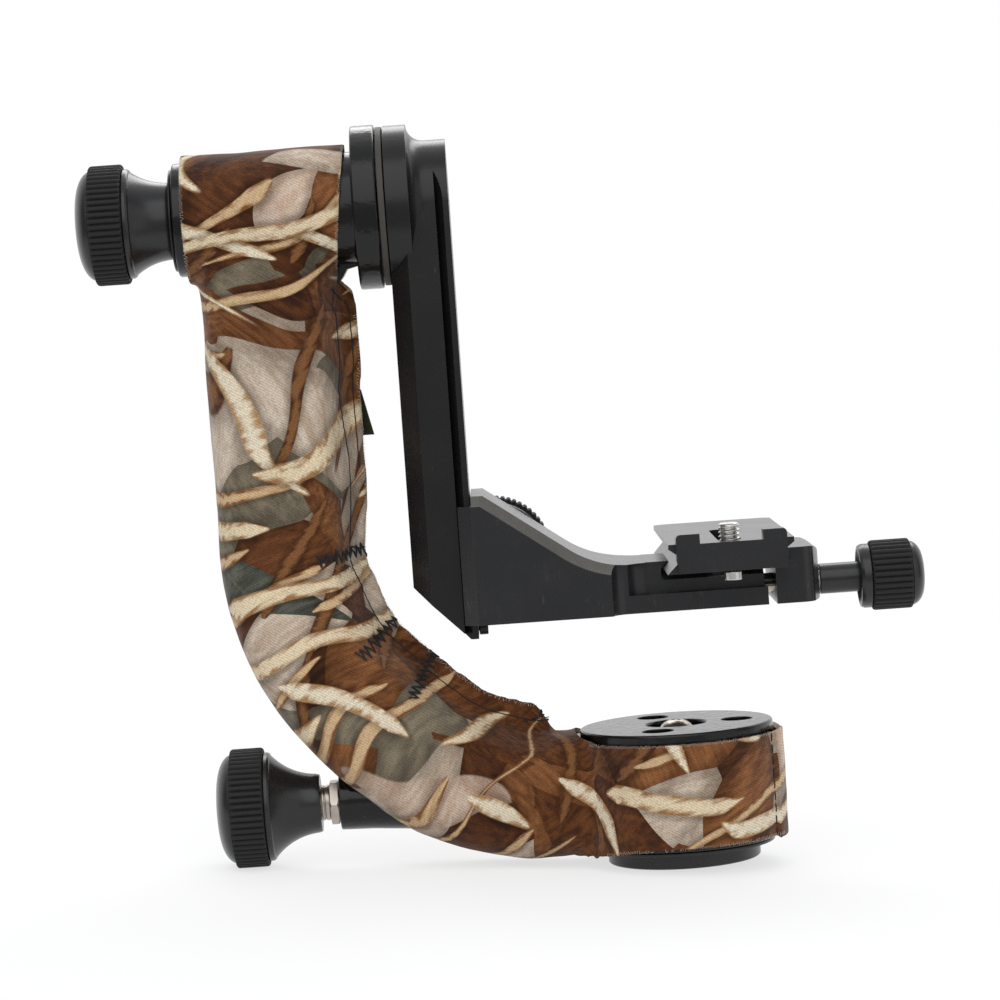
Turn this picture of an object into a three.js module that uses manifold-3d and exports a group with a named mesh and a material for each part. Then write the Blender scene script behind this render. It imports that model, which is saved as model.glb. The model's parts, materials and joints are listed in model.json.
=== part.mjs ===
// Gimbal tripod head: a panning foot, a C-shaped cast arm in a soft sleeve, a side
// swing arm with a dovetail rail, and a lens platform with a quick-release clamp.
// Millimetres. +Z is up, +X points from the cast arm towards the lens clamp, and
// the origin is the centre of the foot's underside, on the pan axis.

import * as THREE from 'three';
import { mergeVertices } from 'three/addons/utils/BufferGeometryUtils.js';
import Module from 'manifold-3d';

const wasm = await Module();
wasm.setup();

// Clearances, and how far a cutting solid passes the face it opens
const gap = 0.3;
const overrun = 2;
const edgeBreak = 0.6;

// Number of flats on round pieces
const fineSides = 36;
const mediumSides = 24;
const smallSides = 14;

// Main axes: the swing arm's tilt axis and the pan lock's axis
const tiltHeight = 204.9;
const lockHeight = 24.5;

// Foot, turned in one piece with its spindle
const footRadius = 23.3;
const footHeight = 4.6;
const footRimRadius = 28;
const footRimHeight = 1;
const footClearance = 0.4;
const socketRadius = 4.2;
const socketDepth = 12;
const spindleRadius = 8.5;
const spindleShoulderRadius = 10.2;
const spindleStudRadius = 3.8;
const spindleWasherRadius = 10.8;
const spindleWasherThickness = 1.2;
const spindleNutRadius = 8.2;
const spindleNutSkirt = 2.6;
const spindleDomeRadius = 5.9;
const spindleNutHeight = 7.6;
const spindleNutCrown = 1.8;

// Bearings
const panBearingRadius = 13;
const panBearingWidth = 4;
const tiltBearingRadius = 13;
const tiltBearingWidth = 7;

// Base housing of the cast arm, with the bearing hub screwed into it
const housingRadius = 29.5;
const housingTop = 41.5;
const housingWall = 3.2;
const topPlateThickness = 6.3;
const centreHoleRadius = 9.1;
const hubInset = 1;
const hubBoreClearance = 2;
const hubScrewInset = 10.9;
const hubScrewSpread = THREE.MathUtils.degToRad(110);
const hubScrewRecessRadius = 4.65;
const hubScrewRecessDepth = 4.3;
const hubScrewHeadRadius = 4.1;
const hubScrewHeadHeight = 2.6;
const hubScrewShankRadius = 2;
const hubScrewLength = 8;

// Curved bar of the cast arm
const armWidth = 36.6;
const armDepth = 30;
const armArcRadius = 73.85;
const armSetback = 1;
const armEndWidth = 31.2;
const armTaperStart = THREE.MathUtils.degToRad(35);
const armFlare = 3.6;
const armFlareTop = 10;
const armFlareBottom = 25;
const armSectionPower = 3;
const armSectionPoints = 16;
const armArcSteps = 9;

// Tilt barrel and its flange, the right end of the cast arm
const barrelRadius = 17.2;
const barrelLength = 54.5;
const barrelBoreClearance = 2;
const flangeRadius = 24.8;
const flangeThickness = 7.3;
const frictionWasherThickness = 1.9;
const frictionWasherRadius = 24;

// Soft sleeve over the cast arm
const coverThickness = 2;
const coverBarrelInset = 3;
const coverFlangeInset = 2.7;
const coverTopInset = 2.9;
const coverBottomInset = 0.3;
const flapWidth = 5.8;
const flapThickness = 3.4;
const flapEndAngle = THREE.MathUtils.degToRad(88);
const tagHeight = 14;
const tagWidth = 8;
const tagThickness = 0.7;
const tagShow = 3.6;
const tagDrop = 55;

// Swing arm with its dovetail rail, measured out from the pan axis
const railOffset = 58.1;
const swingThickness = 18.7;
const swingHalfWidth = 19.05;
const swingBevelAcross = 5.4;
const swingBevelIn = 5.6;
const swingBottom = 73.2;
const swingSlant = 16.3;
const railLip = 1.7;
const railGrooveDepth = 2.4;
const discRadius = 24.2;
const discThickness = 7;
const axleRadius = 6;
const axleSeatDepth = 10;
const axleStudRadius = 5;
const axleScrewHeadRadius = 4.6;
const axleScrewHeadHeight = 4;
const axleScrewShankRadius = 2.2;
const axleScrewLength = 9;

// Stop screw at the foot of the rail
const railStopHeadRadius = 2.3;
const railStopHeadLength = 2.7;
const railStopShankRadius = 1;
const railStopShankLength = 5;
const railStopInset = 1.8;

// Three big knobs share one head
const knobShoulderRadius = 16.6;
const knobShoulderLength = 2.2;
const knobGripRadius = 18.2;
const knobGripSeat = 2.6;
const knobGripLength = 10;
const knobDomeLength = 5;
const knobRidges = 58;
const ridgeDepth = 0.75;
const ridgeFlatShare = 0.62;
const flareSteps = 4;
const tiltNeckRadius = 11.7;
const tiltFlareLength = 11.6;
const panNeckRadius = 8.5;
const panFlareLength = 14.6;
const thrustWasherRadius = 15.4;
const thrustWasherThickness = 0.7;

// Pan lock: boss, jam nut, sleeve, stud, push rod and brake shoe
const bossRadius = 8.6;
const bossStandOff = 2.453;
const jamNutFlats = 12.7;
const jamNutThickness = 2.4;
const lockSleeveRadius = 5.4;
const lockSleeveLength = 2.4;
const lockStudRadius = 3.9;
const lockStudInKnob = 14;
const lockStudInBoss = 22;
const pushRodRadius = 2.6;
const brakeShoeRadius = 3.2;
const brakeShoeTravel = 0.5;

// Lens platform bracket
const clawWidth = 5.95;
const bracketHeight = 38.6;
const bracketFlat = 3.6;
const bracketSlope = THREE.MathUtils.degToRad(35.8);
const gussetRadius = 32;
const gussetSteps = 5;
const deckHeight = 14.8;
const deckChamfer = 3;
const stepRadius = 5;
const stepSteps = 4;
const stepSetback = 12;
const barSetIn = 4.5;
const barHeight = 5.4;
const barReach = 11.9;
const upperBarHeight = 9.2;
const upperBarInset = 4.1;
const pocketRadius = 8;
const reliefSetOut = 1.2;
const upperBarShort = 0.8;
const seatHeight = 12.7;
const reliefRadius = 8;
const clawChamfer = 4;

// Rear jaw of the platform, its knob, screw and guide pins
const rearJawThickness = 7;
const rearJawLength = 16.4;
const rearKnobInset = 5.9;
const rearKnobDrop = 21.9;
const rearNeckRadius = 8.5;
const rearFlareLength = 8;
const rearScrewRadius = 3.9;
const rearScrewInBracket = 26;
const rearScrewInKnob = 12;
const guidePinRadius = 1.5;
const guidePinSeat = 9;
const guidePinReach = 4.6;
const rearGuideSpacing = 23;

// Quick-release clamp
const clampOffset = 17.5;
const fixedJawWall = 3.85;
const fixedJawRise = 2.2;
const jawOpening = 2.5;
const jawHeight = 16.7;
const jawThickness = 14.4;
const jawCornerRadius = 4;
const jawCrown = 2.4;
const clampAxisHeight = 4.9;
const clampGuideSpacing = 25;
const clampPinReach = 8;
const clampScrewRadius = 3;
const clampScrewInBar = 18;
const clampScrewInKnob = 12;
const clampKnobRadius = 9.8;
const clampGripRadius = 10.7;
const clampGripSeat = 1.9;
const clampShaftRadius = 4.63;
const clampShaftLength = 12;
const clampKnobLip = 3.7;
const clampGripLength = 12.1;
const clampDomeLength = 4.1;
const clampKnobRecess = 1.3;
const clampKnobRidges = 34;
const clampRidgeDepth = 0.65;

// Quick-release plate, its stop screws and camera screw
const plateWidth = 38.1;
const plateFront = 50;
const plateLength = 96;
const plateThickness = 8.8;
const plateValleyDepth = 4.5;
const plateUpperInset = 0.6;
const plateUpperFlat = 1.4;
const plateCornerRadius = 5;
const plateBlockWidth = 32.5;
const plateBlockDepth = 6;
const plateEarHeight = 2.9;
const plateEarWidth = 7;
const slotRadius = 3.5;
const slotFrontInset = 10.5;
const slotTravel = 41;
const slotRecessRadius = 4.7;
const slotRecessDepth = 4;
const cameraScrewRadius = 3.175;
const cameraScrewHeadRadius = 4.3;
const cameraScrewHeadHeight = 2.5;
const cameraScrewProud = 4.9;
const slotWasherThickness = 0.6;
const stopHeadRadius = 2.6;
const stopHeadHeight = 2.5;
const stopShankRadius = 1.1;
const stopShankLength = 3;
const stopInset = 3.5;

// Places that follow from the sizes above
const footRimTop = footHeight + footRimHeight;
const housingBottom = footRimTop + footClearance;
const hubScrewCircleRadius = housingRadius - hubScrewInset;
const plateUnderside = housingTop - topPlateThickness;
const cavityRadius = housingRadius - housingWall;
const hubRadius = cavityRadius - gap;
const hubBottom = housingBottom + hubInset;
const hubTop = plateUnderside - gap;
const panSeatRadius = panBearingRadius + gap;
const lowerBearingBottom = hubBottom + gap;
const upperBearingTop = hubTop - spindleWasherThickness - gap;
const upperBearingBottom = upperBearingTop - panBearingWidth;
const spindleNutBottom = hubTop + gap;

const swingLeft = -railOffset - swingThickness;
const frictionWasherRight = swingLeft - gap;
const flangeRight = frictionWasherRight - frictionWasherThickness - gap;
const flangeLeft = flangeRight - flangeThickness;
const barrelLeft = flangeLeft - barrelLength;
const thrustWasherLeft = barrelLeft - gap - thrustWasherThickness;
const tiltKnobNeck = thrustWasherLeft - gap;

const armCentreX = (barrelLeft + flangeLeft) / 2 - armSetback;
const armTaper = (armWidth - armEndWidth) / 2;
const arcCentreX = armCentreX + armArcRadius;
const arcCentreZ = lockHeight + armArcRadius + armTaper;
const jamNutCorner = jamNutFlats / Math.sqrt(3);
const armOuterRadius = armArcRadius + armWidth / 2;
const nutAboveArc = arcCentreZ - lockHeight - jamNutCorner;
const bossReach = Math.sqrt(armOuterRadius ** 2 - nutAboveArc ** 2) - arcCentreX + bossStandOff;

const platformBottom = swingBottom + railStopInset + railStopHeadRadius + gap;
const bracketLeft = -railOffset + gap;
const bracketHalfDepth = swingHalfWidth + clawWidth;
const barHalfDepth = bracketHalfDepth - barSetIn;
const upperHalf = barHalfDepth - upperBarInset;
const jawHalfDepth = barHalfDepth;
const clawReach = railLip + railGrooveDepth;
const seatTop = platformBottom + seatHeight;
const plateBottom = seatTop + gap;
const plateTop = plateBottom + plateThickness;
const plateHalf = plateWidth / 2;
const fixedJawLeft = clampOffset - plateHalf - fixedJawWall;
const barRight = clampOffset + barReach;
const jawLeft = barRight + jawOpening;
const jawRight = jawLeft + jawThickness;
const clampAxisZ = platformBottom + clampAxisHeight;
const rearKnobX = bracketLeft + rearKnobInset;
const rearKnobZ = platformBottom + bracketHeight - rearKnobDrop;
const rearJawFace = bracketHalfDepth - rearJawThickness;

// Geometry helpers

function clean(source) {
  const bare = source.clone();
  bare.deleteAttribute('normal');
  bare.deleteAttribute('uv');
  const merged = mergeVertices(bare, 1e-4);
  const position = merged.getAttribute('position');
  const index = merged.index.array;
  const a = new THREE.Vector3();
  const b = new THREE.Vector3();
  const c = new THREE.Vector3();
  const kept = [];
  let volume = 0;
  for (let i = 0; i < index.length; i += 3) {
    const [p, q, r] = [index[i], index[i + 1], index[i + 2]];
    if (p === q || q === r || r === p) continue;
    kept.push(p, q, r);
    a.fromBufferAttribute(position, p);
    b.fromBufferAttribute(position, q);
    c.fromBufferAttribute(position, r);
    volume += a.dot(b.cross(c));
  }
  if (volume < 0) kept.reverse();
  merged.setIndex(kept);
  return merged;
}

function solid(geometry) {
  const tidy = clean(geometry);
  const mesh = new wasm.Mesh({
    numProp: 3,
    vertProperties: new Float32Array(tidy.getAttribute('position').array),
    triVerts: new Uint32Array(tidy.index.array),
  });
  return new wasm.Manifold(mesh);
}

function geometryOf(shape) {
  const mesh = shape.getMesh();
  const geometry = new THREE.BufferGeometry();
  geometry.setAttribute('position', new THREE.BufferAttribute(new Float32Array(mesh.vertProperties), 3));
  geometry.setIndex(Array.from(mesh.triVerts));
  return geometry;
}

function join(...shapes) {
  return shapes.reduce((sum, shape) => sum.add(shape));
}

function cut(shape, ...tools) {
  return tools.reduce((rest, tool) => rest.subtract(tool), shape);
}

// Solids of revolution from [radius, height] points: about Z, X or Y

function turned(profile, sides) {
  const points = profile.map(([radius, height]) => new THREE.Vector2(radius, height));
  return new THREE.LatheGeometry(points, sides).rotateX(Math.PI / 2);
}

function turnedZ(profile, sides, x = 0, y = 0) {
  return solid(turned(profile, sides).translate(x, y, 0));
}

function turnedX(profile, sides, y = 0, z = 0) {
  return solid(turned(profile, sides).rotateY(Math.PI / 2).translate(0, y, z));
}

function turnedY(profile, sides, x = 0, z = 0) {
  return solid(turned(profile, sides).rotateX(-Math.PI / 2).translate(x, 0, z));
}

function rodProfile(radius, low, high, lead = 0) {
  return [[0, low], [radius - lead, low], [radius, low + lead], [radius, high - lead],
    [radius - lead, high], [0, high]];
}

function plainRod(radius, low, high) {
  return [[0, low], [radius, low], [radius, high], [0, high]];
}

function ringProfile(inner, outer, low, high) {
  return [[inner, low], [outer, low], [outer, high], [inner, high], [inner, low]];
}

// Prisms from outlines: along Z from [x, y], along Y from [x, z], along X from [y, z]

function extruded(outline, depth, hole) {
  const shape = new THREE.Shape(outline.map(([u, v]) => new THREE.Vector2(u, v)));
  if (hole) shape.holes.push(new THREE.Path(hole.map(([u, v]) => new THREE.Vector2(u, v))));
  return new THREE.ExtrudeGeometry(shape, { depth, bevelEnabled: false });
}

function prismZ(outline, low, high) {
  return solid(extruded(outline, high - low).translate(0, 0, low));
}

function prismY(outline, low, high) {
  return solid(extruded(outline, high - low).rotateX(Math.PI / 2).translate(0, high, 0));
}

const alongX = new THREE.Matrix4().makeBasis(
  new THREE.Vector3(0, 1, 0), new THREE.Vector3(0, 0, 1), new THREE.Vector3(1, 0, 0));

function prismX(outline, low, high, hole) {
  return solid(extruded(outline, high - low, hole).applyMatrix4(alongX).translate(low, 0, 0));
}

function block(x0, x1, y0, y1, z0, z1) {
  return prismZ([[x0, y0], [x1, y0], [x1, y1], [x0, y1]], z0, z1);
}

function arcPoints(cx, cy, radius, from, to, steps) {
  const points = [];
  for (let i = 0; i <= steps; i += 1) {
    const angle = from + (to - from) * i / steps;
    points.push([cx + radius * Math.cos(angle), cy + radius * Math.sin(angle)]);
  }
  return points;
}

function hexOutline(flats) {
  const corner = flats / Math.sqrt(3);
  return arcPoints(0, 0, corner, 0, 2 * Math.PI * 5 / 6, 5);
}

// Skins rings of 3-D points into a closed solid: every ring has as many points

function skinned(rings) {
  const count = rings[0].length;
  const positions = rings.flat().flatMap((point) => [point.x, point.y, point.z]);
  const index = [];
  for (let k = 0; k + 1 < rings.length; k += 1) {
    for (let i = 0; i < count; i += 1) {
      const j = (i + 1) % count;
      const [a, b] = [k * count + i, k * count + j];
      const [c, d] = [(k + 1) * count + j, (k + 1) * count + i];
      index.push(a, b, c, a, c, d);
    }
  }
  for (const [ring, flip] of [[0, true], [rings.length - 1, false]]) {
    const flat = flattened(rings[ring]);
    const turn = Math.sign(THREE.ShapeUtils.area(flat));
    for (const [a, b, c] of THREE.ShapeUtils.triangulateShape(flat, [])) {
      const same = Math.sign(THREE.ShapeUtils.area([flat[a], flat[b], flat[c]])) === turn;
      const corners = same === flip ? [a, c, b] : [a, b, c];
      index.push(...corners.map((corner) => ring * count + corner));
    }
  }
  const geometry = new THREE.BufferGeometry();
  geometry.setAttribute('position', new THREE.Float32BufferAttribute(positions, 3));
  geometry.setIndex(index);
  return solid(geometry);
}

// A flat ring of points seen in its own plane
function flattened(ring) {
  const centre = ring.reduce((sum, point) => sum.add(point), new THREE.Vector3()).divideScalar(ring.length);
  const side = ring[0].clone().sub(centre).normalize();
  const normal = new THREE.Vector3();
  for (let i = 0; i < ring.length; i += 1) {
    const next = ring[(i + 1) % ring.length];
    normal.add(ring[i].clone().sub(centre).cross(next.clone().sub(centre)));
  }
  const up = normal.normalize().clone().cross(side);
  return ring.map((point) => {
    const offset = point.clone().sub(centre);
    return new THREE.Vector2(offset.dot(side), offset.dot(up));
  });
}

// Materials

function finish(color, roughness, metalness) {
  return new THREE.MeshStandardMaterial({ color, roughness, metalness });
}

const anodised = finish(0x2b2c2e, 0.42, 0.7);
const wrinklePaint = finish(0x121314, 0.3, 0.2);
const rubber = finish(0x1c1d1d, 0.85, 0);
const steel = finish(0xb9b0a6, 0.35, 1);
const blackSteel = finish(0x1d1d1e, 0.4, 0.8);
const washerPlastic = finish(0x645f58, 0.7, 0);
const neoprene = finish(0x8d6f52, 0.95, 0);
const tagFabric = finish(0x1a1b1a, 0.9, 0);

const head = new THREE.Group();

function place(name, shape, material, parent = head) {
  const geometry = geometryOf(shape);
  geometry.computeVertexNormals();
  const mesh = new THREE.Mesh(geometry, material);
  mesh.name = name;
  parent.add(mesh);
  return mesh;
}

// A socket head screw along +Z whose head sits on the plane at height zero
function socketScrew(headRadius, headHeight, shankRadius, length) {
  const lead = headHeight / 8;
  const body = turnedZ([[0, -length], [shankRadius, -length], [shankRadius, 0], [headRadius, 0],
    [headRadius, headHeight - lead], [headRadius - lead, headHeight], [0, headHeight]], smallSides);
  const socket = prismZ(hexOutline(headRadius), headHeight / 3, headHeight + overrun);
  return cut(body, socket);
}

// Foot, spindle and what holds the spindle in the hub
function buildFoot() {
  const rimBreak = Math.min(edgeBreak, footRimHeight / 3);
  const profile = [[0, socketDepth], [socketRadius, socketDepth], [socketRadius, edgeBreak],
    [socketRadius + edgeBreak, 0], [footRadius - edgeBreak, 0], [footRadius, edgeBreak],
    [footRadius, footHeight], [footRimRadius - rimBreak, footHeight],
    [footRimRadius, footHeight + rimBreak], [footRimRadius, footRimTop - rimBreak],
    [footRimRadius - rimBreak, footRimTop], [spindleShoulderRadius, footRimTop],
    [spindleShoulderRadius, hubBottom], [spindleRadius, hubBottom], [spindleRadius, upperBearingTop],
    [spindleStudRadius, upperBearingTop],
    [spindleStudRadius, spindleNutBottom + spindleNutHeight - spindleNutCrown - gap],
    [0, spindleNutBottom + spindleNutHeight - spindleNutCrown - gap]];
  place('base_foot', turnedZ(profile, fineSides), wrinklePaint);

  const washerBottom = upperBearingTop + gap;
  place('spindle_washer', turnedZ(ringProfile(spindleStudRadius + gap, spindleWasherRadius,
    washerBottom, washerBottom + spindleWasherThickness), mediumSides), steel);

  const nutTop = spindleNutBottom + spindleNutHeight;
  const skirtTop = spindleNutBottom + spindleNutSkirt;
  const bore = spindleStudRadius + gap;
  const dome = arcPoints(0, skirtTop, 1, 0, Math.PI / 2, 4).map(([across, up]) => [
    spindleDomeRadius * across, skirtTop + (nutTop - skirtTop) * (up - skirtTop)]);
  dome[dome.length - 1][0] = 0;
  const nutProfile = [[0, nutTop - spindleNutCrown], [bore, nutTop - spindleNutCrown],
    [bore, spindleNutBottom], [spindleNutRadius, spindleNutBottom], [spindleNutRadius, skirtTop], ...dome];
  place('spindle_nut', turnedZ(nutProfile, mediumSides), steel);
}

// Bearing hub, its bearings and the three screws that hold it under the top plate
function hubScrewPlaces() {
  return [0, hubScrewSpread, -hubScrewSpread].map((angle) => [
    hubScrewCircleRadius * Math.cos(angle), hubScrewCircleRadius * Math.sin(angle)]);
}

function buildHub() {
  const bore = spindleRadius + hubBoreClearance;
  const lowerSeatTop = lowerBearingBottom + panBearingWidth + gap;
  const upperSeatBottom = upperBearingBottom - gap;
  const profile = [[panSeatRadius, hubBottom], [hubRadius, hubBottom], [hubRadius, hubTop],
    [panSeatRadius, hubTop], [panSeatRadius, upperSeatBottom], [bore, upperSeatBottom],
    [bore, lowerSeatTop], [panSeatRadius, lowerSeatTop], [panSeatRadius, hubBottom]];
  const screwFloor = housingTop - hubScrewRecessDepth - hubScrewLength;
  const holes = hubScrewPlaces().map(([x, y]) => turnedZ(
    plainRod(hubScrewShankRadius + gap, screwFloor, hubTop + overrun), smallSides, x, y));
  const shoeHole = turnedX(plainRod(brakeShoeRadius + gap, -hubRadius - overrun, -spindleRadius),
    smallSides, 0, lockHeight);
  place('pan_hub', cut(turnedZ(profile, mediumSides), shoeHole, ...holes), anodised);

  const bearingBore = spindleRadius + gap;
  for (const [name, low] of [['pan_bearing_lower', lowerBearingBottom], ['pan_bearing_upper', upperBearingBottom]]) {
    const shape = turnedZ(ringProfile(bearingBore, panBearingRadius, low, low + panBearingWidth), mediumSides);
    place(name, shape, steel);
  }

  hubScrewPlaces().forEach(([x, y], i) => {
    const screw = socketScrew(hubScrewHeadRadius, hubScrewHeadHeight, hubScrewShankRadius, hubScrewLength - gap);
    const mesh = place(`hub_screw_${i + 1}`, screw, blackSteel);
    mesh.position.set(x, y, housingTop - hubScrewRecessDepth + gap);
  });
}

// The cast arm's bar: its centre line, half width and turn at each station

function armStations() {
  const half = armWidth / 2;
  const stations = [
    { x: armCentreX, z: tiltHeight, angle: 0, half: half + armFlare },
    { x: armCentreX, z: tiltHeight - armFlareTop, angle: 0, half: half + armFlare },
    { x: armCentreX, z: tiltHeight - (armFlareTop + armFlareBottom) / 2, angle: 0, half: half + armFlare / 3 },
    { x: armCentreX, z: tiltHeight - armFlareBottom, angle: 0, half },
  ];
  for (let i = 0; i <= armArcSteps; i += 1) {
    const angle = Math.PI / 2 * i / armArcSteps;
    const along = THREE.MathUtils.smoothstep(angle, armTaperStart, Math.PI / 2);
    const radius = armArcRadius + armTaper * along;
    stations.push({
      x: arcCentreX - radius * Math.cos(angle),
      z: arcCentreZ - radius * Math.sin(angle),
      angle,
      half: half - armTaper * along,
    });
  }
  const last = stations[stations.length - 1];
  stations.push({ ...last, x: -cavityRadius });
  return stations;
}

function armLoft(offset) {
  const power = 2 / armSectionPower;
  const rings = armStations().map(({ x, z, angle, half }) => {
    const ring = [];
    for (let i = 0; i < armSectionPoints; i += 1) {
      const turn = 2 * Math.PI * i / armSectionPoints;
      const across = Math.sign(Math.cos(turn)) * Math.abs(Math.cos(turn)) ** power * (half + offset);
      const depth = Math.sign(Math.sin(turn)) * Math.abs(Math.sin(turn)) ** power * (armDepth / 2 + offset);
      ring.push(new THREE.Vector3(x + across * Math.cos(angle), depth, z + across * Math.sin(angle)));
    }
    return ring;
  });
  return skinned(rings);
}

function barrelShape(radius, left, right, sides = mediumSides) {
  return turnedX(plainRod(radius, left, right), sides, 0, tiltHeight);
}

// One casting: base housing, curved bar, tilt barrel, flange and pan lock boss
function buildCastArm() {
  const housing = turnedZ(rodProfile(housingRadius, housingBottom, housingTop, edgeBreak), fineSides);
  const barrel = turnedX([[0, barrelLeft], [barrelRadius - edgeBreak, barrelLeft],
    [barrelRadius, barrelLeft + edgeBreak], [barrelRadius, flangeLeft],
    [flangeRadius - edgeBreak, flangeLeft], [flangeRadius, flangeLeft + edgeBreak],
    [flangeRadius, flangeRight - edgeBreak], [flangeRadius - edgeBreak, flangeRight],
    [0, flangeRight]], fineSides, 0, tiltHeight);
  const boss = turnedX(rodProfile(bossRadius, -bossReach, -bossReach + lockStudInBoss, edgeBreak),
    mediumSides, 0, lockHeight);
  const body = join(housing, armLoft(0), barrel, boss);

  const cavity = turnedZ(plainRod(cavityRadius, housingBottom - overrun, plateUnderside), fineSides);
  const centreHole = turnedZ(plainRod(centreHoleRadius, plateUnderside - overrun, housingTop + overrun), mediumSides);
  const recesses = hubScrewPlaces().flatMap(([x, y]) => [
    turnedZ(plainRod(hubScrewRecessRadius, housingTop - hubScrewRecessDepth, housingTop + overrun), smallSides, x, y),
    turnedZ(plainRod(hubScrewShankRadius + gap, plateUnderside - overrun, housingTop), smallSides, x, y),
  ]);

  const seatRadius = tiltBearingRadius + gap;
  const seatDepth = tiltBearingWidth + 2 * gap;
  const bores = [
    turnedX([[0, barrelLeft - overrun], [seatRadius, barrelLeft - overrun], [seatRadius, barrelLeft + seatDepth],
      [axleRadius + barrelBoreClearance, barrelLeft + seatDepth],
      [axleRadius + barrelBoreClearance, flangeRight - seatDepth], [seatRadius, flangeRight - seatDepth],
      [seatRadius, flangeRight + overrun], [0, flangeRight + overrun]], mediumSides, 0, tiltHeight),
    turnedX(plainRod(lockStudRadius + gap, -bossReach - overrun, -bossReach + lockStudInBoss + gap),
      smallSides, 0, lockHeight),
    turnedX(plainRod(pushRodRadius + gap, -bossReach, -cavityRadius + overrun), smallSides, 0, lockHeight),
  ];
  place('vertical_arm', cut(body, cavity, centreHole, ...recesses, ...bores), wrinklePaint);

  for (const [name, left] of [['tilt_bearing_left', barrelLeft + gap],
    ['tilt_bearing_right', flangeRight - gap - tiltBearingWidth]]) {
    place(name, turnedX(ringProfile(axleRadius + gap, tiltBearingRadius, left, left + tiltBearingWidth),
      mediumSides, 0, tiltHeight), steel);
  }
}

// The soft sleeve: one skin over bar, barrel and housing, with a seam flap inside the curve
function flapOutline() {
  const inner = [];
  const outer = [];
  const straight = armStations()[3];
  const stations = [{ ...straight, z: tiltHeight - barrelRadius }, ...armStations().slice(4)];
  for (const { x, z, angle, half } of stations) {
    if (angle > flapEndAngle) continue;
    const root = half + gap + coverThickness / 2;
    const tip = half + gap + coverThickness + flapWidth;
    inner.push([x + root * Math.cos(angle), z + root * Math.sin(angle)]);
    outer.push([x + tip * Math.cos(angle), z + tip * Math.sin(angle)]);
  }
  return inner.concat(outer.reverse());
}

function buildCover() {
  const skin = gap + coverThickness;
  const coverTop = housingTop - coverTopInset;
  const coverBottom = housingBottom + coverBottomInset;
  const coverLeft = barrelLeft + coverBarrelInset;
  const coverRight = flangeLeft - coverFlangeInset;
  const outside = join(
    armLoft(skin),
    barrelShape(barrelRadius + skin, coverLeft, coverRight),
    turnedZ(plainRod(housingRadius + skin, coverBottom, coverTop), fineSides),
    prismY(flapOutline(), -flapThickness / 2, flapThickness / 2));
  const aboveHousing = turnedZ(plainRod(housingRadius + gap, coverBottom - overrun, housingTop + 2 * overrun), fineSides);
  const inside = join(
    armLoft(gap),
    barrelShape(barrelRadius + gap, coverLeft - overrun, coverRight + overrun),
    aboveHousing,
    turnedX(plainRod(bossRadius + gap, -bossReach - overrun, armCentreX + armArcRadius), mediumSides, 0, lockHeight));
  const barrelEnds = [
    block(barrelLeft - overrun, coverLeft, -2 * barrelRadius, 2 * barrelRadius,
      tiltHeight - 2 * barrelRadius, tiltHeight + 2 * barrelRadius),
    block(coverRight, flangeRight, -2 * barrelRadius, 2 * barrelRadius,
      tiltHeight - 2 * barrelRadius, tiltHeight + 2 * barrelRadius),
  ];
  place('arm_cover', cut(outside, inside, ...barrelEnds), neoprene);

  const flapEdge = armCentreX + armWidth / 2 + skin + flapWidth;
  const tagTop = tiltHeight - tagDrop;
  const tagY = flapThickness / 2 + gap;
  place('cover_tag', prismY([[flapEdge + tagShow - tagWidth, tagTop - tagHeight], [flapEdge + tagShow, tagTop - tagHeight],
    [flapEdge + tagShow - tagShow / 3, tagTop], [flapEdge + tagShow - tagWidth, tagTop]], tagY, tagY + tagThickness), tagFabric);
}

// A big knob along +X: neck face at zero, then flare, shoulder, grip seat and dome

function knobHead(neckRadius, flareLength, boreRadius, boreDepth) {
  const rise = knobShoulderRadius - edgeBreak - neckRadius;
  const arcRadius = (flareLength ** 2 + rise ** 2) / (2 * rise);
  const sweep = Math.asin(flareLength / arcRadius);
  const flare = [];
  for (let i = 0; i <= flareSteps; i += 1) {
    const angle = sweep * i / flareSteps;
    flare.push([neckRadius + arcRadius * (1 - Math.cos(angle)), arcRadius * Math.sin(angle)]);
  }
  flare[0] = [neckRadius - edgeBreak / 2, 0];
  const gripStart = flareLength + knobShoulderLength;
  const gripEnd = gripStart + knobGripLength;
  const domeEnd = gripEnd + knobDomeLength;
  const seat = knobGripRadius - knobGripSeat - gap;
  const domeShares = [[0.99, 0.16], [0.93, 0.46], [0.74, 0.76], [0.4, 0.94], [0, 1]];
  const dome = domeShares.map(([across, along]) => [knobShoulderRadius * across, gripEnd + knobDomeLength * along]);
  return turnedX([[0, boreDepth], [boreRadius, boreDepth], [boreRadius, 0], ...flare,
    [knobShoulderRadius, flareLength + edgeBreak], [knobShoulderRadius, gripStart - gap], [seat, gripStart - gap],
    [seat, gripEnd + gap], [knobShoulderRadius, gripEnd + gap], ...dome.slice(0, -1), [0, domeEnd]], mediumSides);
}

// A ribbed rubber band along +X
function gripBand(outer, inner, from, length, ridges, depth) {
  const outline = [];
  const pitch = 2 * Math.PI / ridges;
  for (let i = 0; i < ridges; i += 1) {
    for (const [share, radius] of [[0, outer], [ridgeFlatShare, outer], [(1 + ridgeFlatShare) / 2, outer - depth]]) {
      const angle = pitch * (i + share);
      outline.push([radius * Math.cos(angle), radius * Math.sin(angle)]);
    }
  }
  const hole = arcPoints(0, 0, inner, 0, 2 * Math.PI * (mediumSides - 1) / mediumSides, mediumSides - 1);
  return prismX(outline, from, from + length, hole);
}

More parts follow.
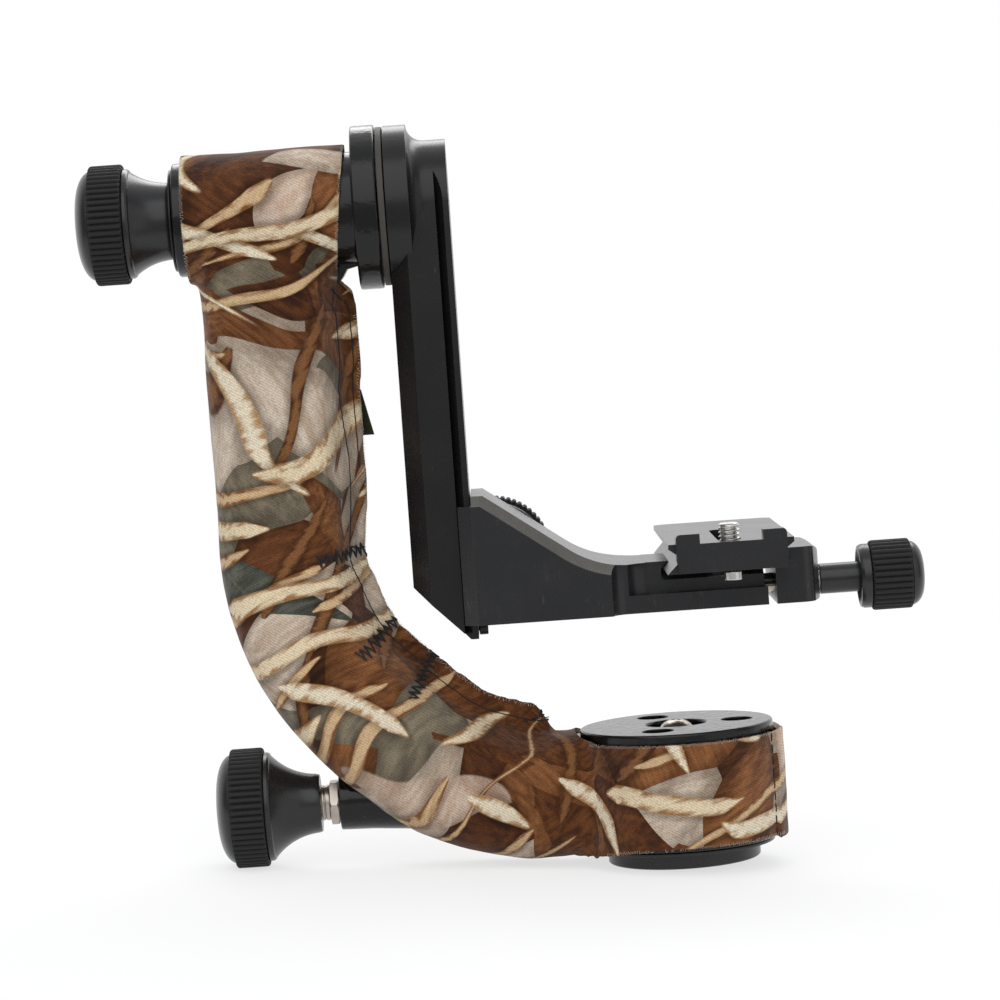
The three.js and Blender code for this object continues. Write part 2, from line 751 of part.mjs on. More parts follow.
function bigKnob(name, neckRadius, flareLength, boreRadius, boreDepth) {
  const group = new THREE.Group();
  place(name, knobHead(neckRadius, flareLength, boreRadius, boreDepth), anodised, group);
  place(`${name}_grip`, gripBand(knobGripRadius, knobGripRadius - knobGripSeat, flareLength + knobShoulderLength,
    knobGripLength, knobRidges, ridgeDepth), rubber, group);
  head.add(group);
  return group;
}

// Pan lock: knob, stud, sleeve, jam nut, push rod and brake shoe
function buildPanLock() {
  const nutRight = -bossReach - gap;
  const nutLeft = nutRight - jamNutThickness;
  const sleeveRight = nutLeft - gap;
  const sleeveLeft = sleeveRight - lockSleeveLength;
  const neck = sleeveLeft - gap;
  const bore = lockStudRadius + gap;
  const group = bigKnob('pan_knob', panNeckRadius, panFlareLength, bore, lockStudInKnob + gap);
  group.position.set(neck, 0, lockHeight);
  group.rotation.z = Math.PI;
  place('pan_knob_stud', turnedX(plainRod(lockStudRadius, neck - lockStudInKnob, -bossReach + lockStudInBoss - gap),
    smallSides, 0, lockHeight), steel);
  place('lock_sleeve', turnedX(ringProfile(bore, lockSleeveRadius, sleeveLeft, sleeveRight),
    mediumSides, 0, lockHeight), steel);

  const nut = prismX(hexOutline(jamNutFlats).map(([u, v]) => [u, v]), nutLeft, nutRight);
  const nutBore = turnedX(plainRod(bore, nutLeft - overrun, nutRight + overrun), smallSides);
  const nutMesh = place('jam_nut', cut(nut, nutBore), steel);
  nutMesh.position.z = lockHeight;

  const shoeLeft = -hubRadius + brakeShoeTravel;
  place('push_rod', turnedX(plainRod(pushRodRadius, -bossReach + lockStudInBoss + gap, shoeLeft - gap),
    smallSides, 0, lockHeight), steel);
  const shoe = turnedX(plainRod(brakeShoeRadius, shoeLeft, 0), smallSides, 0, lockHeight);
  const spindleClear = turnedZ(plainRod(spindleRadius + gap, 0, housingTop), mediumSides);
  place('brake_shoe', cut(shoe, spindleClear), washerPlastic);
}

// Swing arm: a dovetail bar with a rounded top, a disc at the pivot and a slanted foot
function buildSwingArm() {
  const right = -railOffset;
  const grooveLeft = right - railLip - railGrooveDepth;
  const half = swingHalfWidth;
  const nearSide = [[swingLeft, -half + swingBevelIn], [swingLeft + swingBevelAcross, -half], [grooveLeft, -half],
    [grooveLeft, -half + railGrooveDepth], [grooveLeft + railGrooveDepth, -half], [right, -half]];
  const section = nearSide.concat(nearSide.map(([x, y]) => [x, -y]).reverse());
  const bar = prismZ(section, swingBottom, tiltHeight + half + overrun);
  const low = swingBottom - overrun;
  const wide = half + overrun;
  const roundedTop = prismX([[-wide, low], [wide, low], [wide, tiltHeight],
    ...arcPoints(0, tiltHeight, half, 0, Math.PI, 20), [-wide, tiltHeight]], swingLeft - overrun, right + overrun);
  const filletRadius = discRadius - half;
  const discEdge = swingLeft + discThickness;
  const fillet = arcPoints(discRadius, discEdge + filletRadius, filletRadius, -Math.PI / 2, -Math.PI, 6);
  const disc = turnedX([[0, swingLeft], [discRadius - edgeBreak, swingLeft], [discRadius, swingLeft + edgeBreak],
    ...fillet, [0, discEdge + filletRadius]], fineSides, 0, tiltHeight);
  const sum = swingLeft + swingBottom + swingSlant;
  const slant = prismY([[swingLeft - overrun, low], [sum - low, low], [swingLeft - overrun, sum - swingLeft + overrun]],
    -wide, wide);

  const axleBore = turnedX(plainRod(axleRadius + gap, swingLeft - overrun, swingLeft + axleSeatDepth + gap),
    mediumSides, 0, tiltHeight);
  const headDepth = axleScrewHeadHeight + gap;
  const screwBore = turnedX([[0, swingLeft], [axleScrewShankRadius + gap, swingLeft],
    [axleScrewShankRadius + gap, right - headDepth], [axleScrewHeadRadius + gap, right - headDepth],
    [axleScrewHeadRadius + gap, right + overrun], [0, right + overrun]], smallSides, 0, tiltHeight);
  const stopZ = swingBottom + railStopInset;
  const stopBore = turnedX(plainRod(railStopShankRadius + gap, right - railStopShankLength - gap, right + overrun),
    smallSides, 0, stopZ);
  const body = cut(join(bar.intersect(roundedTop), disc), slant, axleBore, screwBore, stopBore);
  place('swing_arm', body, anodised);

  const stop = place('rail_stop_screw', socketScrew(railStopHeadRadius, railStopHeadLength, railStopShankRadius,
    railStopShankLength), blackSteel);
  stop.rotation.y = Math.PI / 2;
  stop.position.set(right + gap / 2, 0, stopZ);

  const axleStudLeft = tiltKnobNeck - lockStudInKnob;
  const screwClear = axleScrewShankRadius + gap;
  const screwTip = right - headDepth - axleScrewLength;
  place('tilt_axle', turnedX([[0, axleStudLeft], [axleStudRadius, axleStudLeft], [axleStudRadius, tiltKnobNeck],
    [axleRadius, tiltKnobNeck + gap], [axleRadius, swingLeft + axleSeatDepth],
    [screwClear, swingLeft + axleSeatDepth], [screwClear, screwTip], [0, screwTip]], mediumSides, 0, tiltHeight), steel);
  const screw = place('axle_screw', socketScrew(axleScrewHeadRadius, axleScrewHeadHeight, axleScrewShankRadius,
    axleScrewLength - gap), blackSteel);
  screw.rotation.y = Math.PI / 2;
  screw.position.set(right - axleScrewHeadHeight, 0, tiltHeight);
  place('friction_washer', turnedX(ringProfile(axleRadius + gap, frictionWasherRadius,
    frictionWasherRight - frictionWasherThickness, frictionWasherRight), fineSides, 0, tiltHeight), washerPlastic);
}

function buildTiltKnob() {
  const bore = axleStudRadius + gap;
  const group = bigKnob('tilt_knob', tiltNeckRadius, tiltFlareLength, bore, lockStudInKnob + gap);
  group.position.set(tiltKnobNeck, 0, tiltHeight);
  group.rotation.z = Math.PI;
  place('thrust_washer', turnedX(ringProfile(axleRadius + 2 * gap, thrustWasherRadius, thrustWasherLeft,
    thrustWasherLeft + thrustWasherThickness), mediumSides, 0, tiltHeight), blackSteel);
}

// Platform bracket: the side outline of its gusset, with and without the edge chamfer
function bracketOutline(chamfer) {
  const top = platformBottom + bracketHeight;
  const deck = platformBottom + deckHeight;
  const slopeStart = bracketLeft + bracketFlat;
  const cornerX = slopeStart + (top - deck) / Math.tan(bracketSlope);
  const tangent = gussetRadius * Math.tan(bracketSlope / 2);
  const arcEnd = cornerX + tangent;
  const from = -Math.PI / 2 - bracketSlope;
  const radius = gussetRadius + chamfer;
  const curve = arcPoints(arcEnd, deck + gussetRadius, radius, from, -Math.PI / 2, gussetSteps);
  const shoulder = chamfer * Math.tan(bracketSlope / 2);
  return [[bracketLeft, platformBottom], [bracketLeft, top - chamfer], [slopeStart - shoulder, top - chamfer],
    ...curve, [clampOffset, deck - chamfer], [clampOffset, platformBottom]];
}

function bracketBlank() {
  const layer = (chamfer, y) => bracketOutline(chamfer).map(([x, z]) => new THREE.Vector3(x, y, z));
  const inner = bracketHalfDepth - deckChamfer;
  const gusset = skinned([layer(deckChamfer, -bracketHalfDepth), layer(0, -inner), layer(0, inner),
    layer(deckChamfer, bracketHalfDepth)]);
  const stepX = fixedJawLeft - stepSetback;
  const far = bracketHalfDepth + overrun;
  const pocketRun = Math.sqrt(pocketRadius ** 2 - (pocketRadius - upperBarInset) ** 2);
  const barCut = (centreX, half, radius, low) => [-1, 1].map((side) => {
    const arc = arcPoints(centreX, -half - radius, radius, Math.PI, Math.PI / 2, stepSteps);
    const outline = [[centreX - radius, -far - radius], ...arc, [clampOffset + overrun, -half],
      [clampOffset + overrun, -far - radius]];
    return prismZ(outline.map(([x, y]) => [x, -side * y]), low, platformBottom + bracketHeight + overrun);
  });
  const cutters = [...barCut(stepX + stepRadius, barHalfDepth, stepRadius, platformBottom - overrun),
    ...barCut(stepX + stepRadius + pocketRun, upperHalf, pocketRadius, platformBottom + barHeight)];
  const beyondJaw = block(fixedJawLeft, clampOffset + overrun, -far, far, platformBottom - overrun,
    platformBottom + bracketHeight);
  return cut(gusset, ...cutters, beyondJaw);
}

// The claw that hooks behind the rail's lip, on the near side or mirrored to the far side
function claw(side) {
  const lipOuter = swingHalfWidth + gap;
  const left = bracketLeft - clawReach;
  const tipDepth = swingHalfWidth - railGrooveDepth + gap + gap * Math.SQRT2;
  const lipTop = left + lipOuter - tipDepth;
  const outline = [[bracketLeft + overrun, -bracketHalfDepth], [bracketLeft, -bracketHalfDepth],
    [left, -bracketHalfDepth + clawChamfer], [left, -tipDepth], [lipTop, -lipOuter],
    [bracketLeft + overrun, -lipOuter]];
  return prismZ(outline.map(([x, y]) => [x, -side * y]), platformBottom, platformBottom + bracketHeight - deckChamfer);
}

function rearJawBox(clearance) {
  return block(bracketLeft - 2 * clawReach, bracketLeft + rearJawLength - clearance, rearJawFace + clearance,
    bracketHalfDepth + overrun, platformBottom - overrun, platformBottom + bracketHeight + overrun);
}

function guidePinHoles(reach) {
  return [-1, 1].map((side) => turnedY(plainRod(guidePinRadius + gap, rearJawFace - guidePinSeat - gap,
    rearJawFace + reach), smallSides, rearKnobX, rearKnobZ + side * rearGuideSpacing / 2));
}

function clampGuideHoles() {
  return [-1, 1].map((side) => turnedX(plainRod(guidePinRadius + gap, barRight - guidePinSeat - gap,
    jawLeft + clampPinReach + gap), smallSides, side * clampGuideSpacing / 2, clampAxisZ));
}

function buildPlatform() {
  const lowBar = block(fixedJawLeft - overrun, barRight, -barHalfDepth, barHalfDepth,
    platformBottom, platformBottom + barHeight);
  const upperTop = platformBottom + upperBarHeight;
  const bevel = seatTop - upperTop;
  const upperBar = prismX([[-upperHalf, platformBottom + barHeight - edgeBreak],
    [upperHalf, platformBottom + barHeight - edgeBreak], [upperHalf, upperTop], [upperHalf - bevel, seatTop],
    [-upperHalf + bevel, seatTop], [-upperHalf, upperTop]], fixedJawLeft - overrun, barRight - upperBarShort);
  const tipX = clampOffset - plateHalf;
  const jawTop = seatTop + fixedJawRise;
  const fixedJaw = prismY([[fixedJawLeft - overrun, platformBottom + barHeight], [fixedJawLeft - overrun, jawTop - edgeBreak],
    [fixedJawLeft - overrun + edgeBreak, jawTop], [tipX - 2 * gap + fixedJawRise, jawTop],
    [tipX - 2 * gap, seatTop], [tipX - 2 * gap, platformBottom + barHeight]], -upperHalf, upperHalf);
  const reliefs = [-1, 1].map((side) => turnedZ(plainRod(reliefRadius, upperTop, jawTop + overrun),
    mediumSides, clampOffset, side * (upperHalf + reliefSetOut)));

  const screwBore = turnedX(plainRod(clampScrewRadius + gap, barRight - clampScrewInBar - gap, barRight + overrun),
    smallSides, 0, clampAxisZ);
  const rearBore = turnedY(plainRod(rearScrewRadius + gap, rearJawFace - rearScrewInBracket - gap,
    rearJawFace + overrun), smallSides, rearKnobX, rearKnobZ);
  const body = join(bracketBlank(), lowBar, upperBar, fixedJaw, claw(-1));
  place('platform_bracket', cut(body, rearJawBox(0), screwBore, rearBore, ...reliefs, ...guidePinHoles(overrun),
    ...clampGuideHoles()), anodised);

  [-1, 1].forEach((side) => {
    const suffix = side < 0 ? 'front' : 'rear';
    place(`clamp_guide_pin_${suffix}`, turnedX(plainRod(guidePinRadius, barRight - guidePinSeat,
      jawLeft + clampPinReach), smallSides, side * clampGuideSpacing / 2, clampAxisZ), steel);
    const level = side < 0 ? 'lower' : 'upper';
    place(`jaw_guide_pin_${level}`, turnedY(plainRod(guidePinRadius, rearJawFace - guidePinSeat,
      rearJawFace + guidePinReach), smallSides, rearKnobX, rearKnobZ + side * rearGuideSpacing / 2), steel);
  });
}

// Rear jaw, drawn against the rail by the knob behind the platform
function buildRearJaw() {
  const screwHole = turnedY(plainRod(rearScrewRadius + gap, rearJawFace - overrun, bracketHalfDepth + overrun),
    smallSides, rearKnobX, rearKnobZ);
  const body = join(bracketBlank().intersect(rearJawBox(gap)), claw(1).intersect(rearJawBox(gap)));
  place('platform_jaw', cut(body, screwHole, ...guidePinHoles(guidePinReach + gap)), anodised);

  const neck = bracketHalfDepth + gap;
  const bore = rearScrewRadius + gap;
  const group = bigKnob('platform_knob', rearNeckRadius, rearFlareLength, bore, rearScrewInKnob + gap);
  group.position.set(rearKnobX, neck, rearKnobZ);
  group.rotation.z = Math.PI / 2;
  place('platform_clamp_screw', turnedY(plainRod(rearScrewRadius, rearJawFace - rearScrewInBracket,
    neck + rearScrewInKnob), smallSides, rearKnobX, rearKnobZ), steel);
}

// Quick-release jaw, its knob with a long shaft, grip and clamp screw
function buildQuickRelease() {
  const top = platformBottom + jawHeight;
  const tipX = clampOffset + plateHalf + 2 * gap;
  const rise = top - edgeBreak - seatTop;
  const side = prismY([[jawLeft, platformBottom], [jawLeft, seatTop], [tipX, seatTop], [tipX - rise, top - edgeBreak],
    [tipX - rise + edgeBreak, top], ...arcPoints(jawRight - jawCornerRadius, top - jawCornerRadius, jawCornerRadius,
      Math.PI / 2, 0, 5), [jawRight, platformBottom + edgeBreak], [jawRight - edgeBreak, platformBottom]],
  -jawHalfDepth, jawHalfDepth);
  const cornerX = jawRight - jawCrown - jawCornerRadius;
  const cornerY = jawHalfDepth - jawCornerRadius;
  const plan = prismZ([[jawLeft - overrun, -jawHalfDepth],
    ...arcPoints(cornerX, -cornerY, jawCornerRadius, -Math.PI / 2, 0, 4),
    [jawRight, -jawHalfDepth / 3], [jawRight, jawHalfDepth / 3],
    ...arcPoints(cornerX, cornerY, jawCornerRadius, 0, Math.PI / 2, 4),
    [jawLeft - overrun, jawHalfDepth]], platformBottom - overrun, top + overrun);
  const screwHole = turnedX(plainRod(clampScrewRadius + gap, jawLeft - overrun, jawRight + overrun),
    smallSides, 0, clampAxisZ);
  place('quick_release_jaw', cut(side.intersect(plan), screwHole, ...clampGuideHoles()), anodised);

  const start = jawRight + gap;
  const face = start + clampShaftLength;
  const gripStart = face + clampKnobLip;
  const gripEnd = gripStart + clampGripLength;
  const seat = clampGripRadius - clampGripSeat - gap;
  const bore = clampScrewRadius + gap;
  const lip = clampKnobRadius - clampKnobRecess;
  const knob = turnedX([[0, start + clampScrewInKnob + gap], [bore, start + clampScrewInKnob + gap], [bore, start],
    [clampShaftRadius, start], [clampShaftRadius, face + clampKnobRecess], [lip - clampKnobRecess, face + clampKnobRecess],
    [lip, face], [clampKnobRadius - edgeBreak / 2, face + edgeBreak], [clampKnobRadius, face + clampKnobRecess],
    [clampKnobRadius, gripStart - gap], [seat, gripStart - gap], [seat, gripEnd + gap], [clampKnobRadius, gripEnd + gap],
    ...[[0.95, 0.45], [0.8, 0.72], [0.5, 0.92]].map(([acrossShare, alongShare]) => [
      clampKnobRadius * acrossShare, gripEnd + clampDomeLength * alongShare]),
    [0, gripEnd + clampDomeLength]], mediumSides, 0, clampAxisZ);
  place('clamp_knob', knob, anodised);
  const grip = place('clamp_knob_grip', gripBand(clampGripRadius, clampGripRadius - clampGripSeat, gripStart,
    clampGripLength, clampKnobRidges, clampRidgeDepth), rubber);
  grip.position.z = clampAxisZ;
  place('clamp_screw', turnedX(plainRod(clampScrewRadius, barRight - clampScrewInBar, start + clampScrewInKnob),
    smallSides, 0, clampAxisZ), steel);
}

// Lens plate: a double dovetail with a block and two ears at its front end
function plateSection() {
  const neck = plateHalf - plateValleyDepth;
  const upper = plateHalf - plateUpperInset;
  const right = [[plateHalf, plateBottom], [neck, plateBottom + plateValleyDepth],
    [upper, plateTop - plateUpperFlat], [upper, plateTop]];
  const left = right.map(([x, z]) => [-x, z]).reverse();
  return right.concat(left).map(([x, z]) => [clampOffset + x, z]);
}

function slotOutline(radius, start, travel) {
  return [...arcPoints(clampOffset, start + travel, radius, 0, Math.PI, 8),
    ...arcPoints(clampOffset, start, radius, Math.PI, 2 * Math.PI, 8)];
}

function buildPlate() {
  const bodyFront = -plateFront + plateBlockDepth / 2;
  const rear = -plateFront + plateLength;
  const reach = plateHalf + overrun;
  const corner = plateHalf - plateCornerRadius;
  const plan = prismZ([[clampOffset - reach, bodyFront - overrun], [clampOffset + reach, bodyFront - overrun],
    [clampOffset + reach, rear - plateCornerRadius],
    ...arcPoints(clampOffset + corner, rear - plateCornerRadius, plateCornerRadius, 0, Math.PI / 2, 5),
    ...arcPoints(clampOffset - corner, rear - plateCornerRadius, plateCornerRadius, Math.PI / 2, Math.PI, 5),
    [clampOffset - reach, rear - plateCornerRadius]], plateBottom - overrun, plateTop + overrun);
  const rail = prismY(plateSection(), bodyFront, rear).intersect(plan);
  const blockHalf = plateBlockWidth / 2;
  const earInner = blockHalf - plateEarWidth;
  const earTop = plateTop + plateEarHeight;
  const frontOutline = [[-blockHalf + edgeBreak, plateBottom + gap], [blockHalf - edgeBreak, plateBottom + gap],
    [blockHalf, plateBottom + plateValleyDepth], [blockHalf, earTop - edgeBreak], [blockHalf - edgeBreak, earTop],
    [earInner, earTop], [earInner, plateTop], [-earInner, plateTop], [-earInner, earTop],
    [-blockHalf + edgeBreak, earTop], [-blockHalf, earTop - edgeBreak], [-blockHalf, plateBottom + plateValleyDepth]];
  const front = prismY(frontOutline.map(([x, z]) => [clampOffset + x, z]), -plateFront, -plateFront + plateBlockDepth);
  const slotStart = -plateFront + slotFrontInset;
  const slot = prismZ(slotOutline(slotRadius, slotStart, slotTravel), plateBottom - overrun, plateTop + overrun);
  const recess = prismZ(slotOutline(slotRecessRadius, slotStart, slotTravel), plateBottom - overrun,
    plateBottom + slotRecessDepth);
  const stopPlaces = [-plateFront + stopInset, rear - stopInset];
  const stopHoles = stopPlaces.map((y) => turnedZ(plainRod(stopShankRadius + gap, plateBottom - overrun,
    plateBottom + stopShankLength + gap), smallSides, clampOffset, y));
  place('quick_release_plate', cut(join(rail, front), slot, recess, ...stopHoles), anodised);

  ['front', 'rear'].forEach((end, i) => {
    const stop = place(`plate_stop_screw_${end}`, socketScrew(stopHeadRadius, stopHeadHeight, stopShankRadius,
      stopShankLength - gap), steel);
    stop.rotation.x = Math.PI;
    stop.position.set(clampOffset, stopPlaces[i], plateBottom - gap / 2);
  });

  const headBottom = plateBottom + gap;
  const headTop = headBottom + cameraScrewHeadHeight;
  const washerBottom = headTop + gap;
  const lead = cameraScrewRadius / 4;
  place('slot_washer', turnedZ(ringProfile(cameraScrewRadius + gap, cameraScrewHeadRadius, washerBottom,
    washerBottom + slotWasherThickness), smallSides, clampOffset, slotStart), washerPlastic);
  const screwTop = plateTop + cameraScrewProud;
  place('camera_screw', turnedZ([[0, headBottom], [cameraScrewHeadRadius, headBottom], [cameraScrewHeadRadius, headTop],
    [cameraScrewRadius, headTop], [cameraScrewRadius, screwTop - lead], [cameraScrewRadius - lead, screwTop],
    [0, screwTop]], smallSides, clampOffset, slotStart), steel);
}

buildFoot();
buildHub();
buildCastArm();
buildCover();
buildPanLock();
buildSwingArm();
buildTiltKnob();
buildPlatform();
buildRearJaw();
buildQuickRelease();
buildPlate();

export default head;
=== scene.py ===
"""Gimbal tripod head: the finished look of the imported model.

Sizes are in millimetres until a mesh is made, then metres. +Z is up along the pan axis, +X runs from the
curved arm to the lens clamp, and the origin is the centre of the foot's underside.
"""

import json
import random
from math import asin, atan2, copysign, cos, degrees, exp, hypot, pi, radians, sin, sqrt, tan

import bmesh
import bpy
import numpy as np
from mathutils import Matrix, Vector, noise
from mathutils.bvhtree import BVHTree


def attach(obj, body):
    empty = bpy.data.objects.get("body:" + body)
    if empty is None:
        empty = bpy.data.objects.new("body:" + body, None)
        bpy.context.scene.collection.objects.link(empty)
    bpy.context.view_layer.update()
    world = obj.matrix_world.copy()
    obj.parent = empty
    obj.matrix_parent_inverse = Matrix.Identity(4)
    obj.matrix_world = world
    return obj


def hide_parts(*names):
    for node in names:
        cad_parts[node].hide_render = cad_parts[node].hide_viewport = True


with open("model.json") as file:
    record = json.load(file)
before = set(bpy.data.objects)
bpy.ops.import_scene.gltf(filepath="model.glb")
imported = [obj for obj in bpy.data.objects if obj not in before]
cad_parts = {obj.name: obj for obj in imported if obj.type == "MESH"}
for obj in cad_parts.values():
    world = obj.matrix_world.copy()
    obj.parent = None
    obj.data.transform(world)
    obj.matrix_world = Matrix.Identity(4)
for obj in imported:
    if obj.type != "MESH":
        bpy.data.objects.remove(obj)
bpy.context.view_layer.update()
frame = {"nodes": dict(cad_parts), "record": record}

MM = 0.001
GAP = 0.3
TAU = 2 * pi

# Places of the main axes and faces
TILT = 204.9
LOCK = 24.5
FOOT_HEIGHT = 4.6
FOOT_RIM_TOP = 5.6
FOOT_EDGE = 23.3
HOUSING_BOTTOM = 6.0
HOUSING_TOP = 41.5
HOUSING_R = 29.5
CAVITY_R = 26.3
TOP_PLATE = 6.3
WELL_SPOTS = [(18.6 * cos(radians(a)), 18.6 * sin(radians(a))) for a in (0, 110, -110)]
RAIL_FACE = -58.1
SWING_LEFT = -76.8
WASHER_RIGHT = SWING_LEFT - GAP
WASHER_LEFT = WASHER_RIGHT - 1.9
FLANGE_RIGHT = WASHER_LEFT - GAP
FLANGE_LEFT = FLANGE_RIGHT - 7.3
BARREL_LEFT = FLANGE_LEFT - 54.5
BARREL_R = 17.2
FLANGE_R = 24.8
BEARING_SEAT = 13.3
AXLE_BORE = 6.3
THRUST_LEFT = BARREL_LEFT - GAP - 0.7
TILT_NECK = THRUST_LEFT - GAP
ARM_X = (BARREL_LEFT + FLANGE_LEFT) / 2 - 1.0
ARM_HALF = 18.3
ARM_END_HALF = 15.6
ARM_DEPTH = 15
ARC_R = 73.85
ARC_X = ARM_X + ARC_R
ARC_Z = LOCK + ARC_R + ARM_HALF - ARM_END_HALF
BOSS_END = -104.3
NUT_HEIGHT = 2.4
RAIL_HALF = 19.05
PLATFORM_BOTTOM = 77.6
BRACKET_LEFT = RAIL_FACE + GAP
SEAT = PLATFORM_BOTTOM + 12.7
CLAMP_X = 17.5
BRACKET_HALF = 25
BRACKET_HEIGHT = 38.6
BAR_HEIGHT = 5.4
BAR_HALF = 20.5
SEAT_HALF = 16.4
PLATE_BOTTOM = SEAT + GAP
PLATE_TOP = PLATE_BOTTOM + 8.8
PLATE_HALF = 19.05
FIXED_JAW_LEFT = CLAMP_X - PLATE_HALF - 3.85
BAR_RIGHT = CLAMP_X + 11.9
JAW_LEFT = BAR_RIGHT + 2.5
JAW_RIGHT = JAW_LEFT + 14.4
CLAMP_Z = PLATFORM_BOTTOM + 4.9
REAR_KNOB_X = BRACKET_LEFT + 5.9
REAR_KNOB_Z = PLATFORM_BOTTOM + BRACKET_HEIGHT - 21.9
SLOT_Y = -39.5
SLOT_TRAVEL = 41
CLAMP_PINS = 12.5
GRIP_START = 2.2
GRIP_LENGTH = 10.0
AT_TILT = (0, 0, TILT)
AT_LOCK = (0, 0, LOCK)
AT_CLAMP = (0, 0, CLAMP_Z)
AT_REAR_KNOB = (REAR_KNOB_X, 0, REAR_KNOB_Z)

# Bores that screws and guide pins run in
STUD_BORE = 4.2
SCREW_BORE = 3.3
PIN_BORE = 1.8

# The photograph's camera, in pixels, degrees and millimetres, and how far the pan knob hangs below the foot
FOCAL = 3550
CAMERA_AT = (-48.97, -1080.87, 173.80)
CAMERA_DOWN = 3.2
CAMERA_LEAN = 4.0
KNOB_REACH = 108.7
KNOB_DROP = 6.3


# Shader maths as Python expressions


class Tone:
    """A socket in a material's node tree that arithmetic extends with Math nodes."""

    def __init__(self, tree, socket):
        self.tree, self.socket = tree, socket

    def node(self, kind, settings=None, inputs=None, output=0):
        made = self.tree.nodes.new(kind)
        for key, value in (settings or {}).items():
            if key == "steps":
                ramp = made.color_ramp
                ramp.interpolation = "CONSTANT"
                while len(ramp.elements) < len(value):
                    ramp.elements.new(0.5)
                for element, (place, colour) in zip(ramp.elements, value):
                    element.position, element.color = place, (*colour, 1)
            else:
                setattr(made, key, value)
        for key, value in (inputs or {}).items():
            if isinstance(value, Tone):
                self.tree.links.new(value.socket, made.inputs[key])
            else:
                made.inputs[key].default_value = value
        return Tone(self.tree, made.outputs[output])

    def maths(self, operation, a, b=0.0):
        return self.node("ShaderNodeMath", {"operation": operation}, {0: a, 1: b})

    def __add__(self, other):
        return self.maths("ADD", self, other)

    def __sub__(self, other):
        return self.maths("SUBTRACT", self, other)

    def __mul__(self, other):
        return self.maths("MULTIPLY", self, other)

    def __rsub__(self, other):
        return self.maths("SUBTRACT", other, self)

    __radd__ = __add__
    __rmul__ = __mul__

    def above(self, low, high):
        """0 below low, 1 above high, eased between."""
        return self.node("ShaderNodeMapRange", {"interpolation_type": "SMOOTHSTEP"},
            {"Value": self, "From Min": low, "From Max": high})

    def grain(self, scale, detail=3.0, roughness=0.55, distortion=0.0, output="Fac"):
        return self.node("ShaderNodeTexNoise", {}, {"Vector": self, "Scale": scale, "Detail": detail,
            "Roughness": roughness, "Distortion": distortion}, output)

    def stretched(self, scale, turn=(0, 0, 0)):
        return self.node("ShaderNodeMapping", {}, {"Vector": self, "Scale": scale, "Rotation": turn})

    def bent(self, scale, amount):
        """The place pushed about by soft noise, so that straight marks curve."""
        push = self.grain(scale, 1, output="Color")
        return self.node("ShaderNodeVectorMath", {"operation": "MULTIPLY_ADD"},
            {0: push, 1: (amount,) * 3, 2: self})

    def leaning(self, lean, slim, shift=(0, 0, 0), tip=0.0):
        """The place as seen by a pattern drawn out along a direction that leans up from X."""
        return self.node("ShaderNodeMapping", {"vector_type": "TEXTURE"}, {
            "Vector": self, "Rotation": (tip, -lean, 0), "Scale": (1 / slim, 1, 1), "Location": shift})

    def parts(self):
        return [self.node("ShaderNodeSeparateXYZ", {}, {0: self}, axis) for axis in "XYZ"]

    def brushed(self, lean, slim, scale):
        return self.leaning(lean, slim).grain(scale)

    def off(self, level):
        """How far this value is from a level, either way."""
        return self.maths("ABSOLUTE", self - level)

    def mixed(self, low, high):
        """This mask as the blend between two colours, given as tones or as they look on screen."""
        made = self.tree.nodes.new("ShaderNodeMix")
        made.data_type = "RGBA"
        self.tree.links.new(self.socket, made.inputs["Factor"])
        for socket, value in ((made.inputs[6], low), (made.inputs[7], high)):
            if isinstance(value, Tone):
                self.tree.links.new(value.socket, socket)
            else:
                socket.default_value = (*linear(*value), 1)
        return Tone(self.tree, made.outputs[2])

    def bumped(self, strength, distance):
        return self.node("ShaderNodeBump", {}, {"Height": self, "Strength": strength, "Distance": distance})


def linear(r, g, b):
    """A colour as it looks on screen, 0 to 255, as the shader's linear numbers."""
    return tuple(c / 3294.6 if c <= 10 else ((c / 255 + 0.055) / 1.055) ** 2.4 for c in (r, g, b))


def material(name, fixed, varying=None):
    """fixed: shader values that are the same all over; varying: those that change from place to place."""
    made = bpy.data.materials.new(name)
    made.use_nodes = True
    shader = made.node_tree.nodes["Principled BSDF"]
    for key, value in fixed.items():
        shader.inputs[key].default_value = (*value, 1) if isinstance(value, tuple) else value
    if varying:
        coords = made.node_tree.nodes.new("ShaderNodeTexCoord")
        place = Tone(made.node_tree, coords.outputs["Object"])
        for key, tone in varying(place).items():
            made.node_tree.links.new(tone.socket, shader.inputs[key])
    return made


def anodised_look(dark, light):
    """Black anodised metal, worn to bare metal where the mesh's edge value says; the paler, more metallic edges
    are also a painted edge highlight.
    """
    def look(place):
        cloud = place.grain(60, 4)
        fine = place.grain(2600, 2)
        lanes = place.stretched((1, 0.06, 0.06), (0.3, 0.9, 0.2)).grain(900, 2, 0.5)
        rub = (1 - lanes.off(0.5).above(0, 0.02)) * place.grain(140, 2).above(0.6, 0.72)
        edge = place.node("ShaderNodeAttribute", {"attribute_name": "edge"}, output="Fac")
        # the edge value makes the bevels paler and more metallic: partly bare-metal wear, partly painted edge
        # highlight
        wear_and_highlight = edge * (place.grain(190, 3).above(0.36, 0.62) * (1 - edge) + edge)
        colour = (rub * 0.3).mixed(cloud.mixed(dark, light), (96, 94, 90))
        return {
            "Base Color": (wear_and_highlight * 0.9).mixed(colour, (116, 113, 107)),
            "Metallic": wear_and_highlight * 0.7,
            "Roughness": 0.18 + cloud * 0.1 + fine * 0.08,
            "Normal": fine.bumped(0.06, 0.00004),
        }
    return look


